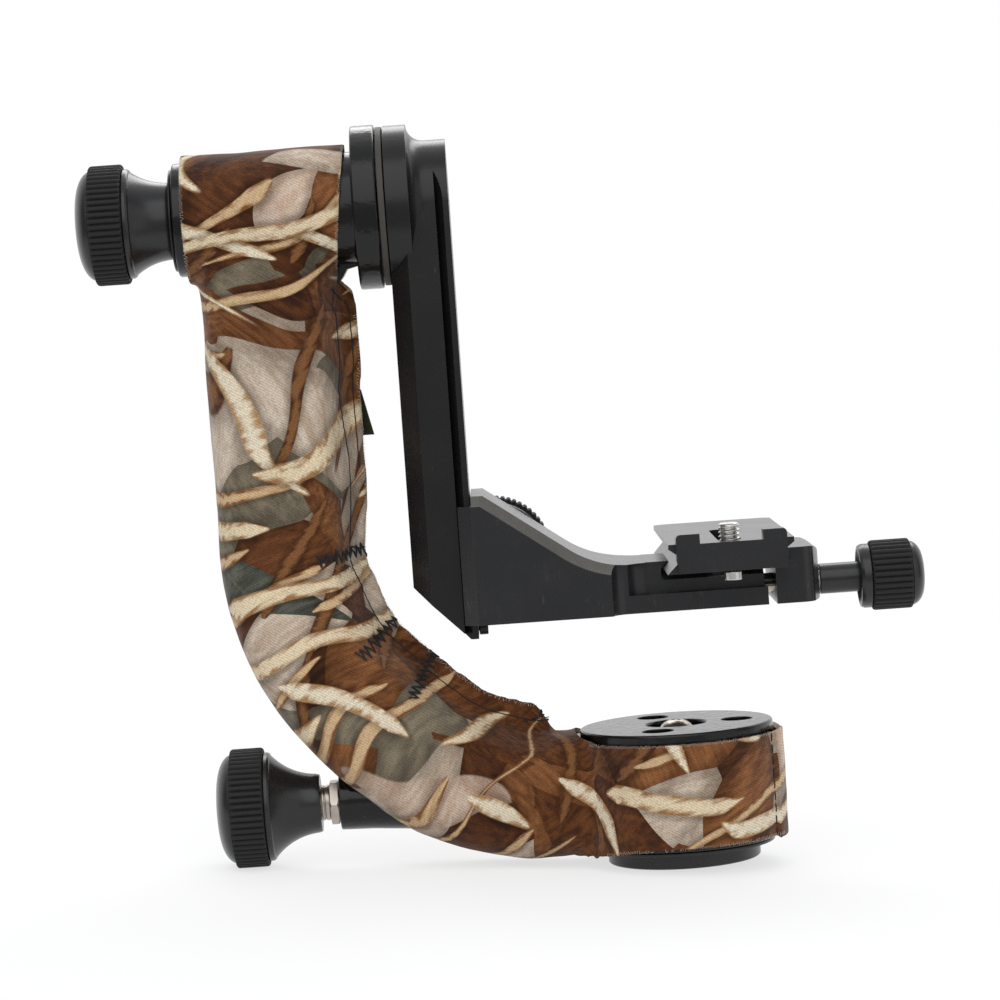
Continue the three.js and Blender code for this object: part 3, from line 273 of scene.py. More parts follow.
def wrinkle_look(place):
    cells = place.node("ShaderNodeTexVoronoi", {"feature": "SMOOTH_F1"}, {
        "Vector": place, "Scale": 700, "Smoothness": 0.9})
    swell = place.grain(430, 2, 0.5, 0.5)
    nick = place.grain(420, 1).above(0.78, 0.81)
    return {
        "Base Color": (nick * 0.4).mixed((8, 8, 9), (120, 118, 112)),
        "Roughness": 0.12 + swell * 0.14,
        "Normal": (cells * 0.5 + swell).bumped(0.3, 0.0003),
    }


def rubber_look(place):
    dust = place.grain(900, 3)
    return {
        "Base Color": dust.mixed((16, 16, 16), (34, 34, 33)),
        "Roughness": 0.6 + dust * 0.2,
        "Normal": place.grain(4200, 2).bumped(0.15, 0.0001),
    }


def turned_look(dark, light, rough):
    """Lathe-turned metal: fine rings that the light streaks along."""
    def look(place):
        rings = place.stretched((9, 1, 1)).grain(700, 2)
        tint = place.grain(180, 3)
        return {
            "Base Color": tint.mixed(dark, light),
            "Roughness": rough + rings * 0.14,
            "Normal": rings.bumped(0.05, 0.00006),
        }
    return look


def washer_look(place):
    fibre = place.grain(1500, 3)
    return {
        "Base Color": fibre.mixed((44, 41, 37), (68, 64, 58)),
        "Normal": fibre.bumped(0.1, 0.0001),
    }


ANODISED = material("black_anodised", {"Specular IOR Level": 0.42},
    anodised_look((24, 24, 25), (35, 35, 37)))
DEEP_BLACK = material("deep_black_anodised", {"Specular IOR Level": 0.34},
    anodised_look((14, 13, 14), (24, 23, 24)))
WRINKLE = material("wrinkle_paint", {"Specular IOR Level": 0.34}, wrinkle_look)
RUBBER = material("grip_rubber", {"Specular IOR Level": 0.35}, rubber_look)
STEEL = material("turned_steel", {"Metallic": 1.0}, turned_look((150, 141, 132), (200, 190, 180), 0.24))
POLISHED = material("polished_steel", {"Metallic": 1.0}, turned_look((190, 188, 184), (225, 222, 218), 0.2))
BLACK_STEEL = material("black_steel", {"Metallic": 0.7}, turned_look((24, 24, 25), (48, 48, 49), 0.3))
WASHER = material("washer_plastic", {"Roughness": 0.6}, washer_look)


# Camouflage print of the sleeve: shards of bark and dry leaf, with loose stalks over them

# Grounds of the shards: where each starts on the scale from 0 to 1, and its two shades
GROUNDS = (
    (0.0, (58, 32, 19), (118, 70, 38)),
    (0.22, (94, 54, 30), (160, 106, 64)),
    (0.42, (104, 94, 78), (150, 138, 116)),
    (0.5, (184, 160, 136), (228, 212, 194)),
    (0.68, (206, 172, 146), (232, 212, 194)),
    (0.82, (66, 36, 20), (130, 80, 44)),
    (0.97, (64, 66, 58), (108, 108, 96)),
)
# Stalks: lean, lane width, shift, rarity, greatest half width in lanes, side shade, middle shade
STALKS = (
    (1.2, 0.017, (0.15, 0.45, 0.7), 0.52, 0.1, (76, 44, 25), (134, 90, 54)),
    (0.55, 0.014, (0.3, 0.6, 0.2), 0.52, 0.11, (132, 84, 46), (216, 184, 142)),
    (-0.7, 0.019, (0.8, 0.1, 0.5), 0.5, 0.12, (178, 138, 94), (240, 226, 200)),
    (0.2, 0.021, (0.5, 0.9, 0.35), 0.51, 0.12, (160, 118, 76), (238, 218, 184)),
)


def camo_look(place):
    curved = place.bent(13, 0.05)
    hairs = curved.brushed(0.5, 0.08, 560), curved.brushed(-0.9, 0.08, 560)

    # Shards: each cell of a slanted mosaic takes one of the print's grounds
    def shards(lean, slim, scale, shift):
        spot = curved.leaning(lean, slim, shift)
        cell = spot.node("ShaderNodeTexVoronoi", {}, {"Vector": spot, "Scale": scale, "Randomness": 1.0},
            "Color")
        rim = spot.node("ShaderNodeTexVoronoi", {"feature": "DISTANCE_TO_EDGE"},
            {"Vector": spot, "Scale": scale})
        return [cell.node("ShaderNodeSeparateColor", {}, {0: cell}, k) for k in range(3)] + [rim]

    def ground(pick, hair):
        ramps = [[(at, linear(*pair[k])) for at, *pair in GROUNDS] for k in (0, 1)]
        return hair.mixed(*[pick.node("ShaderNodeValToRGB", {"steps": steps}, {0: pick})
            for steps in ramps])

    pick, other, lift, rim = shards(0.95, 0.42, 52, (0.31, 0.02, 0.13))
    soft = curved.brushed(1.2, 0.35, 90).above(0.28, 0.72)
    second = other.above(0.49, 0.51)
    strands = (hairs[0] * (1 - second) + hairs[1] * second).above(0.34, 0.68)
    colour = ground(pick, strands * 0.5 + soft * 0.5)
    shade = rim.above(0.0, 0.2) * 0.45 + soft * 0.3 + lift * 0.15 + 0.3
    pick, other, lift, rim = shards(-0.45, 0.26, 40, (0.77, 0.4, 0.61))
    on_top = other.above(0.55, 0.56) * rim.above(0.04, 0.05)
    colour = on_top.mixed(colour, ground(1 - pick, strands * 0.6 + soft * 0.4))
    shade = shade * (1 - on_top) + on_top * (rim.above(0.03, 0.16) * 0.4 + soft * 0.25 + 0.45)

    # Stalks: long tapered blades in slanting lanes, each with its own place, length and width
    for lean, pitch, shift, gap, wide, dark, light in STALKS:
        run, _, across = curved.leaning(lean, 1, shift, 0.35).parts()
        lane = across * (1 / pitch)
        index = lane.maths("FLOOR", lane)
        roll = index.node("ShaderNodeTexWhiteNoise", {"noise_dimensions": "1D"}, {"W": index})
        swell = run.node("ShaderNodeCombineXYZ", {}, {0: run, 1: roll * 5}).grain(24, 0)
        half = run.maths("MINIMUM", run.maths("MAXIMUM", (swell - gap) * 1.5, 0.0), wide)
        away = (lane - index).off(0.5 + (roll - 0.5) * 0.4)
        stalk = (1 - (away - half).above(0.0, 0.03)) * half.above(0.01, 0.03)
        body = (away.maths("DIVIDE", away, half) + (hairs[0] - 0.5) * 2.6).above(0.3, 1.2)
        cast = (1 - (away - half).above(0.0, 0.16)) * half.above(0.01, 0.08) * (1 - stalk)
        colour = stalk.mixed(colour, body.mixed(light, dark))
        shade = (shade + (1 - shade) * stalk * 0.85) * (1 - cast * 0.55)
    dim = colour.node("ShaderNodeHueSaturation", {}, {"Color": colour, "Saturation": 1.08, "Value": 0.36})
    colour = shade.above(0.1, 1.0).mixed(dim, colour)

    # Knit: slanting rows of loops on the flat front and back, and round the sides
    knit = place.node("ShaderNodeTexVoronoi", {}, {"Vector": place, "Scale": 1900, "Randomness": 0.85})
    rows = place.node("ShaderNodeTexWave", {"bands_direction": "X"}, {
        "Vector": place.stretched((0.72, 0, 0.95)).stretched((1, 1, 1), (0, 0.9, 0)), "Scale": 480,
        "Distortion": 0.6, "Detail": 1.0, "Detail Scale": 3.0}, "Fac")
    speck = (knit * 0.6 + place.grain(3000, 1) * 0.35 + rows * 0.25).above(0.3, 0.85)
    dark = colour.node("ShaderNodeHueSaturation", {}, {"Color": colour, "Value": 0.66})
    return {
        "Base Color": speck.mixed(colour, dark),
        "Normal": (1 - knit).bumped(0.5, 0.0002),
    }


SLEEVE = material("camouflage_knit", {"Roughness": 0.95, "Specular IOR Level": 0.12, "Sheen Weight": 0.18,
    "Sheen Roughness": 0.5}, camo_look)
THREAD = material("dark_thread", {"Roughness": 0.7, "Specular IOR Level": 0.25},
    lambda place: {"Base Color": place.grain(3000, 2).mixed((22, 26, 30), (48, 54, 60))})
FUZZ = material("loose_fibres", {"Roughness": 0.9, "Specular IOR Level": 0.1},
    lambda place: {"Base Color": place.grain(300, 2).mixed((190, 178, 160), (232, 226, 216))})
WEBBING = material("tag_webbing", {"Roughness": 0.85, "Specular IOR Level": 0.2}, lambda place: {
    "Base Color": place.grain(900, 3).mixed((22, 25, 18), (52, 55, 34)),
    "Normal": place.node("ShaderNodeTexWave", {"bands_direction": "Z"}, {
        "Vector": place, "Scale": 420}, "Fac").bumped(0.5, 0.0002)})


# Meshes

TURN = {
    "x": lambda r, c, s, h: (h, r * c, r * s),
    "y": lambda r, c, s, h: (r * s, h, r * c),
    "z": lambda r, c, s, h: (r * c, r * s, h),
}
FLAT = {
    "x": lambda u, v, w: (w, u, v),
    "y": lambda u, v, w: (u, w, v),
    "z": lambda u, v, w: (u, v, w),
}


def linked(name, data):
    made = bpy.data.objects.new(name, data)
    bpy.context.scene.collection.objects.link(made)
    return made


def make(name, points, faces, edges=()):
    """An object from points in millimetres, faces outwards."""
    mesh = bpy.data.meshes.new(name)
    mesh.from_pydata([Vector(p) * MM for p in points], list(edges), faces)
    if faces:
        tidy = bmesh.new()
        tidy.from_mesh(mesh)
        bmesh.ops.recalc_face_normals(tidy, faces=tidy.faces)
        tidy.to_mesh(mesh)
        tidy.free()
    return linked(name, mesh)


def softened(profile, radius, closed):
    """The profile with its corners rounded; ends, points on the axis and slight bends stay."""
    points = [Vector(p) for p in (profile[:-1] if closed else profile)]
    out = []
    for i, point in enumerate(points):
        before, after = points[i - 1], points[(i + 1) % len(points)]
        at_end = not closed and i in (0, len(points) - 1)
        if at_end or point.x < 1e-6:
            out.append(tuple(point))
            continue
        a, b = before - point, after - point
        bend = pi - a.angle(b, pi)
        reach = min(radius * tan(bend / 2), a.length * 0.45, b.length * 0.45)
        if bend < 0.3 or reach < 0.01:
            out.append(tuple(point))
            continue
        start, end = point + a.normalized() * reach, point + b.normalized() * reach
        for t in (0, 1 / 3, 2 / 3, 1):
            out.append(tuple(start * (1 - t) ** 2 + point * 2 * t * (1 - t) + end * t ** 2))
    if closed:
        out.append(out[0])
    return out


def turned(name, profile, axis="z", at=(0, 0, 0), sides=128, soft=0):
    """A closed solid of revolution from (radius, height) points; at is in millimetres."""
    ring_like = profile[0] == profile[-1]
    line = softened(profile, soft, ring_like) if soft else profile
    if ring_like:
        line = line[:-1]
    points, rings = [], []
    for radius, height in line:
        count = 1 if radius < 1e-6 else sides
        rings.append(range(len(points), len(points) + count))
        for k in range(count):
            angle = TAU * k / sides
            spot = TURN[axis](radius, cos(angle), sin(angle), height)
            points.append(tuple(p + q for p, q in zip(spot, at)))
    faces = []
    pairs = list(zip(rings, rings[1:])) + ([(rings[-1], rings[0])] if ring_like else [])
    for low, high in pairs:
        for k in range(sides):
            j = (k + 1) % sides
            if len(low) == 1 and len(high) == 1:
                break
            if len(low) == 1:
                faces.append((low[0], high[j], high[k]))
            elif len(high) == 1:
                faces.append((low[k], low[j], high[0]))
            else:
                faces.append((low[k], low[j], high[j], high[k]))
    return make(name, points, faces)


def rod(radius, low, high, axis="z", at=(0, 0, 0), sides=48):
    """A plain cylinder, to cut a bore with or to join on."""
    return turned("rod", [(0, low), (radius, low), (radius, high), (0, high)], axis, at, sides)


def hoop(name, inner, outer, low, high, at, sides, soft):
    return turned(name, [(inner, low), (outer, low), (outer, high), (inner, high), (inner, low)], "x", at,
        sides, soft)


def around_six(radius):
    return [(radius * cos(TAU * k / 6), radius * sin(TAU * k / 6)) for k in range(6)]


def prism(name, outline, low, high, axis="z"):
    points = [FLAT[axis](u, v, w) for w in (low, high) for u, v in outline]
    n = len(outline)
    faces = [tuple(range(n - 1, -1, -1)), tuple(range(n, 2 * n))]
    faces += [(k, (k + 1) % n, n + (k + 1) % n, n + k) for k in range(n)]
    return make(name, points, faces)


def skin(rows, n, closed=True):
    """Faces between rows of n points each, and the two ends."""
    faces = [(k * n + i, k * n + (i + 1) % n, (k + 1) * n + (i + 1) % n, (k + 1) * n + i)
        for k in range(rows - 1) for i in range(n if closed else n - 1)]
    return faces + [tuple(range(n)), tuple(range((rows - 1) * n, rows * n))]


def block(name, x0, x1, y0, y1, z0, z1):
    return prism(name, [(x0, y0), (x1, y0), (x1, y1), (x0, y1)], z0, z1)


def arc(cx, cy, radius, start, end, steps):
    return [(cx + radius * cos(start + (end - start) * k / steps),
        cy + radius * sin(start + (end - start) * k / steps)) for k in range(steps + 1)]


def settle(piece):
    """Applies a piece's modifiers to its mesh."""
    seen = piece.evaluated_get(bpy.context.evaluated_depsgraph_get())
    mesh = bpy.data.meshes.new_from_object(seen)
    piece.modifiers.clear()
    old, piece.data = piece.data, mesh
    bpy.data.meshes.remove(old)
    return piece


def combine(piece, how, tools):
    for tool in tools:
        step = piece.modifiers.new("step", "BOOLEAN")
        step.operation, step.object, step.solver = how, tool, "EXACT"
        settle(piece)
        bpy.data.objects.remove(tool)
    return piece


def cut(piece, *tools):
    return combine(piece, "DIFFERENCE", tools)


def join(piece, *tools):
    return combine(piece, "UNION", tools)


def common(piece, *tools):
    return combine(piece, "INTERSECT", tools)


def merged(piece, *others):
    """One object of several closed bodies."""
    whole = bmesh.new()
    for one in (piece, *others):
        whole.from_mesh(one.data)
    whole.to_mesh(piece.data)
    whole.free()
    for one in others:
        bpy.data.objects.remove(one)
    return piece


def shaded(piece, angle=38):
    """Smooth over gentle bends, true on flats."""
    piece.data.shade_smooth()
    piece.data.set_sharp_from_angle(angle=radians(angle))
    even = piece.modifiers.new("even", "WEIGHTED_NORMAL")
    even.keep_sharp = True
    return settle(piece)


def eased(piece, width=0.3):
    """Breaks the hard edges, so that they catch the light."""
    tidy = bmesh.new()
    tidy.from_mesh(piece.data)
    bmesh.ops.remove_doubles(tidy, verts=tidy.verts, dist=1e-6)
    bmesh.ops.dissolve_limit(tidy, angle_limit=radians(0.4), verts=tidy.verts, edges=tidy.edges)
    tidy.to_mesh(piece.data)
    tidy.free()
    bevel = piece.modifiers.new("ease", "BEVEL")
    bevel.width, bevel.segments, bevel.limit_method = width * MM, 2, "ANGLE"
    bevel.angle_limit = radians(28)
    bevel.miter_outer = "MITER_ARC"
    piece.data.materials.clear()
    piece.data.materials.append(ANODISED)
    piece.data.materials.append(DEEP_BLACK)
    bevel.material = 1
    settle(piece)
    # every bevel takes an edge value, which the anodised look turns into bare-metal wear and a painted edge
    # highlight
    edge = piece.data.attributes.new("edge", "FLOAT", "FACE")
    edge.data.foreach_set("value", [0.45 * (face.material_index == 1) for face in piece.data.polygons])
    piece.data.polygons.foreach_set("material_index", [0] * len(piece.data.polygons))
    return shaded(piece, 45)


def dress(piece, finish, body, slot, *nodes):
    """Gives a finished piece its material and the body it moves with, and hides the CAD nodes it stands for."""
    piece.data.materials.clear()
    piece.data.materials.append(finish)
    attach(piece, body)
    if nodes:
        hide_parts(*nodes)
    return piece


def placed(piece, matrix):
    piece.data.transform(matrix)
    return piece


# Screws


def socket_screw(name, head_r, head_h, shank_r, length, at, direction):
    """A socket head cap screw whose head rests at the point at and rises along direction."""
    body = turned(name, [(0, -length), (shank_r, -length), (shank_r, 0), (head_r, 0), (head_r, head_h),
        (0, head_h)], sides=64, soft=0.3)
    cut(body, prism("socket", around_six(head_r * 0.58), head_h * 0.35, head_h + 1))
    shaded(body)
    turn = Vector((0, 0, 1)).rotation_difference(Vector(direction)).to_matrix().to_4x4()
    return placed(body, Matrix.Translation(Vector(at) * MM) @ turn)


def threaded(name, radius, depth, pitch, low, high, at):
    """A screw thread with run-out at both ends, along +Z."""
    sides, lead, rows = 64, 0.9, int((high - low) / pitch * 16)
    points = []
    for row in range(rows + 1):
        z = low + (high - low) * row / rows
        ease = min(1, (z - low) / lead, (high - z) / lead)
        for k in range(sides):
            phase = (z / pitch - k / sides) % 1
            groove = min(1, max(0, 2.6 * abs(phase - 0.5) - 0.15)) * depth * max(0.0, ease)
            chamfer = depth * max(0, 1 - (high - z) / 0.5)
            r = radius - max(groove, chamfer)
            points.append((at[0] + r * cos(TAU * k / sides), at[1] + r * sin(TAU * k / sides),
                at[2] + z))
    return make(name, points, skin(rows + 1, sides))


# Geometry Nodes: repeated ribs, and rows of stitches or fibres


def growth(name, build, **sizes):
    """A tree with named inputs: what build makes of them, turned into a real mesh in its material."""
    tree = bpy.data.node_groups.new(name, "GeometryNodeTree")
    kinds = {"Geometry": "Geometry", **sizes, "Material": "Material"}
    for key, kind in kinds.items():
        tree.interface.new_socket(key, in_out="INPUT", socket_type=f"NodeSocket{kind}")
    tree.interface.new_socket("Geometry", in_out="OUTPUT", socket_type="NodeSocketGeometry")
    start, end = tree.nodes.new("NodeGroupInput"), tree.nodes.new("NodeGroupOutput")
    given = {key: Tone(tree, start.outputs[key]) for key in kinds}
    node = given["Geometry"].node
    real = node("GeometryNodeRealizeInstances", {}, {0: build(node, given)})
    real = node("GeometryNodeSetMaterial", {}, {"Geometry": real, "Material": given["Material"]})
    tree.links.new(real.socket, end.inputs[0])
    return tree


def grown(piece, tree, **sizes):
    """Runs a tree on a piece with these inputs and keeps the result as its mesh."""
    step = piece.modifiers.new(tree.name, "NODES")
    step.node_group = tree
    for item in tree.interface.items_tree:
        if item.in_out == "INPUT" and item.name in sizes:
            step[item.identifier] = sizes[item.name]
    return settle(piece)


def rib_ring(node, given):
    """Copies the piece's shape round the X axis, evenly turned."""
    spots = node("GeometryNodeMeshLine", {}, {"Count": given["Count"], "Offset": (0, 0, 0)})
    index = node("GeometryNodeInputIndex")
    turn = node("ShaderNodeCombineXYZ", {}, {"X": index.maths("DIVIDE", index, given["Count"]) * TAU})
    turn = node("FunctionNodeEulerToRotation", {}, {0: turn})
    return node("GeometryNodeInstanceOnPoints", {}, {
        "Points": spots, "Instance": given["Geometry"], "Rotation": turn})


def tube(node, given, path, sides):
    rim = node("GeometryNodeCurvePrimitiveCircle", {}, {"Resolution": sides, "Radius": given["Radius"]})
    return node("GeometryNodeCurveToMesh", {}, {"Curve": path, "Profile Curve": rim, "Fill Caps": True})


def stitch_row(node, given):
    """Lays short bowed threads along the piece's edges, at a spacing, each leaning a little at random."""
    path = node("GeometryNodeMeshToCurve", {}, {"Mesh": given["Geometry"]})
    spots = node("GeometryNodeResampleCurve", {"mode": "LENGTH"},
        {"Curve": path, "Length": given["Spacing"]})
    half = given["Length"] * 0.5
    thread = node("GeometryNodeCurveQuadraticBezier", {}, {
        "Resolution": 5, "Start": node("ShaderNodeCombineXYZ", {}, {"X": half * -1.0}),
        "Middle": node("ShaderNodeCombineXYZ", {}, {"Z": given["Rise"] * 2.0}),
        "End": node("ShaderNodeCombineXYZ", {}, {"X": half})})
    thread = tube(node, given, thread, 5)
    up = node("FunctionNodeAlignRotationToVector", {"axis": "X"},
        {"Vector": node("GeometryNodeInputTangent")})
    out = node("GeometryNodeInputNamedAttribute", {"data_type": "FLOAT_VECTOR"}, {"Name": "out"})
    facing = node("FunctionNodeAlignRotationToVector", {"axis": "Z", "pivot_axis": "X"},
        {"Rotation": up, "Vector": out})
    lean = node("FunctionNodeRandomValue", {"data_type": "FLOAT"}, {
        "Min": given["Lean"] * -1.0, "Max": given["Lean"], "Seed": given["Seed"]}, 1)
    turn = node("ShaderNodeCombineXYZ", {}, {"Z": lean + given["Turn"]})
    turn = node("FunctionNodeRotateRotation", {"rotation_space": "LOCAL"}, {
        0: facing, 1: node("FunctionNodeEulerToRotation", {}, {0: turn})})
    return node("GeometryNodeInstanceOnPoints", {}, {"Points": spots, "Instance": thread, "Rotation": turn})


def thread_line(node, given):
    """Makes the piece's edges into round thread."""
    return tube(node, given, node("GeometryNodeMeshToCurve", {}, {"Mesh": given["Geometry"]}), 6)


RIB_RING = growth("rib_ring", rib_ring, Count="Int")
STITCH_ROW = growth("stitch_row", stitch_row, Spacing="Float", Length="Float", Rise="Float", Radius="Float",
    Turn="Float", Lean="Float", Seed="Int")
THREAD_LINE = growth("thread", thread_line, Radius="Float")


# Foot, spindle nut and hub screws


def build_foot():
    low, top = FOOT_HEIGHT, FOOT_RIM_TOP
    foot = turned("foot_disc", [(0, 12), (4.2, 12), (4.2, 0.6), (4.8, 0), (22.9, 0), (FOOT_EDGE, 0.4),
        (FOOT_EDGE, low - 0.7), (23.1, low - 0.6), (23.1, low), (28, low), (28, top), (10.2, top),
        (10.2, 7), (8.5, 7), (8.5, 29.4), (3.8, 29.4), (3.8, 40.5), (0, 40.5)], soft=0.25)
    dress(shaded(foot), ANODISED, "foot", "wrinkle_paint", "base_foot")
    base = HOUSING_TOP - TOP_PLATE
    dome = [(5.9 * cos(a), base + 2.6 + 5.0 * sin(a)) for a in np.linspace(0, 1.2, 9)]
    nut = turned("spindle_dome", [(0, base + 5.8), (4.1, base + 5.8), (4.1, base), (8.2, base),
        (8.2, base + 2.6), *dome, (1.7, base + 7.35), (1.5, base + 6.6), (0, base + 6.4)], soft=0.3)
    dress(shaded(nut), STEEL, "foot", "steel", "spindle_nut")
    for i, (x, y) in enumerate(WELL_SPOTS):
        screw = socket_screw(f"hub_cap_screw_{i + 1}", 4.1, 2.6, 2.0, 7.7, (x, y, HOUSING_TOP - 4.0),
            (0, 0, 1))
        dress(screw, BLACK_STEEL, "arm", "black_steel", f"hub_screw_{i + 1}")


# Cast arm


def arm_stations(steps):
    """Centre, turn and half width along the bar, from the tilt barrel down and round to the housing."""
    rows = [(ARM_X, TILT, 0.0, ARM_HALF + 3.6), (ARM_X, TILT - 10, 0.0, ARM_HALF + 3.6)]
    for k in range(1, 7):
        ease = (1 - sin(pi / 2 * k / 6))
        rows.append((ARM_X, TILT - 10 - 15 * k / 6, 0.0, ARM_HALF + 3.6 * ease))
    for z in np.linspace(TILT - 25, ARC_Z, 12)[1:-1]:
        rows.append((ARM_X, float(z), 0.0, ARM_HALF))
    for k in range(steps + 1):
        angle = pi / 2 * k / steps
        t = min(1, max(0, (angle - radians(35)) / radians(55)))
        t = t * t * (3 - 2 * t)
        radius = ARC_R + (ARM_HALF - ARM_END_HALF) * t
        rows.append((ARC_X - radius * cos(angle), ARC_Z - radius * sin(angle), angle,
            ARM_HALF - (ARM_HALF - ARM_END_HALF) * t))
    rows += [(x, LOCK, pi / 2, ARM_END_HALF) for x in (-37.0, -33.0, -29.5)]
    return rows


def lofted(name, rings):
    return make(name, [p for ring in rings for p in ring], skin(len(rings), len(rings[0])))


def bar_loft(name):
    rings, sides = [], 48
    for x, z, angle, half in arm_stations(28):
        rings.append([])
        for i in range(sides):
            c, s = cos(TAU * i / sides), sin(TAU * i / sides)
            across = copysign(abs(c) ** (2 / 3), c) * half
            depth = copysign(abs(s) ** (2 / 3), s) * ARM_DEPTH
            rings[-1].append((x + across * cos(angle), depth, z + across * sin(angle)))
    return lofted(name, rings)


def build_casting():
    r, top, low = HOUSING_R, HOUSING_TOP, HOUSING_BOTTOM
    under = top - TOP_PLATE
    housing = turned("casting", [(CAVITY_R, low), (r, low), (r, top), (9.1, top), (9.1, under),
        (CAVITY_R, under), (CAVITY_R, low)], soft=0.9)
    seat, deep = BEARING_SEAT, 7.6
    barrel = turned("barrel", [(8, BARREL_LEFT + deep), (seat, BARREL_LEFT + deep), (seat, BARREL_LEFT),
        (BARREL_R, BARREL_LEFT), (BARREL_R, FLANGE_LEFT), (FLANGE_R, FLANGE_LEFT), (FLANGE_R, FLANGE_RIGHT),
        (seat, FLANGE_RIGHT), (seat, FLANGE_RIGHT - deep), (8, FLANGE_RIGHT - deep),
        (8, BARREL_LEFT + deep)], "x", AT_TILT, soft=0.8)
    bar = bar_loft("cast_arm")
    boss_bar = turned("boss", [(0, BOSS_END + 1), (8.6, BOSS_END), (8.9, BOSS_END + 10),
        (9.8, BOSS_END + 22), (0, BOSS_END + 22)], "x", AT_LOCK, soft=0.6)
    bore = rod(8, BARREL_LEFT - 3, FLANGE_RIGHT + 3, "x", AT_TILT, 128)
    lock_bore = turned("lock_bore", [(0, BOSS_END - 3), (STUD_BORE, BOSS_END - 3),
        (STUD_BORE, BOSS_END + 22.3), (2.9, BOSS_END + 22.3), (2.9, -24), (0, -24)], "x", AT_LOCK, 48)
    hollow = rod(CAVITY_R, low - 1, under, sides=128)
    wells = []
    for x, y in WELL_SPOTS:
        wells.append(turned("well", [(0, top - 4.3), (4.7, top - 4.3), (4.7, top - 0.35), (5.05, top + 0.1),
            (5.05, top + 2), (0, top + 2)], at=(x, y, 0), sides=64))
        wells.append(rod(2.3, top - 8, top, at=(x, y, 0), sides=32))
    web = prism("web", [(-99, 180), (-95, 181.5), (-92.8, 182.8), (-91.4, 184.6), (-90.2, 186.6),
        (-86, 187.6), (-86, 192), (-99, 192)], -4, 4, "y")
    body = join(cut(bar, hollow), barrel, boss_bar, web)
    body = cut(join(body, housing), lock_bore, bore, *wells)
    dress(shaded(body), WRINKLE, "arm", "wrinkle_paint", "vertical_arm")
    thrust = hoop("barrel_thrust_ring", 6.6, 15.4, THRUST_LEFT, BARREL_LEFT - GAP, AT_TILT, 128, 0.2)
    dress(shaded(thrust), BLACK_STEEL, "arm", "black_steel", "thrust_washer")


# Knobs


def ribbed_band(name, outer, inner, start, length, count, axis_turn):
    """A rubber band of flat-topped ribs over a plain core, along +X from start."""
    pitch = TAU * outer / count
    top, foot = pitch * 0.29, pitch * 0.47
    ends = [(start, 0.45), (start + 0.35, 0.12), (start + 0.8, 0), (start + length - 0.8, 0),
            (start + length - 0.35, 0.12), (start + length, 0.45)]
    section = [(-foot, -0.85), (-top, -0.22), (-top * 0.6, -0.03), (0, 0), (top * 0.6, -0.03), (top, -0.22),
        (foot, -0.85)]
    points = [(x, side, outer + level - drop * (level > -0.8))
        for x, drop in ends for side, level in section]
    rows, n = len(ends), len(section)
    under = tuple(k * n for k in range(rows)) + tuple(k * n + n - 1 for k in reversed(range(rows)))
    rib = make(name, points, skin(rows, n, closed=False) + [under])
    band = grown(rib, RIB_RING, Count=count, Material=RUBBER)
    core = hoop("core", inner, outer - 0.8, start + 0.1, start + length - 0.1, (0, 0, 0), count * 2, 0.2)
    return placed(merged(band, core), axis_turn)


def knob_profile(neck, flare, bore, deep):
    """A knob along +X from its neck face: concave flare, shoulder, grip seat and dome."""
    shoulder, lead, band, dome, seat = 16.6, GRIP_START, GRIP_LENGTH, 5.0, 15.3
    rise = shoulder - 0.9 - neck
    radius = (flare ** 2 + rise ** 2) / (2 * rise)
    sweep = asin(min(1, flare / radius))
    curve = [(neck + radius * (1 - cos(a)), radius * sin(a)) for a in np.linspace(0, sweep, 16)]
    crown = [(shoulder * cos(a) ** 0.62, flare + lead + band + dome * sin(a) ** 1.15)
        for a in np.linspace(0.05, pi / 2 - 0.04, 15)]
    end = flare + lead + band + dome
    return [(0, deep), (bore, deep), (bore, 0), (neck - 0.3, 0), *curve[1:],
        (shoulder - 0.35, flare + 0.25), (shoulder, flare + 0.9), (shoulder, flare + lead - 0.25),
        (seat, flare + lead - 0.25), (seat, flare + lead + band + 0.25),
        (shoulder, flare + lead + band + 0.25), *crown, (0, end)]


def big_knob(name, neck, flare, bore, deep, place, node):
    head = turned(name, knob_profile(neck, flare, bore, deep), "x", soft=0.22, sides=144)
    dress(placed(shaded(head), place), ANODISED, node, "anodised", node)
    band = ribbed_band(f"{name}_ribs", 18.2, 15.6, flare + GRIP_START, GRIP_LENGTH, 58, place)
    dress(shaded(band, 50), RUBBER, node, "grip_rubber", f"{node}_grip")


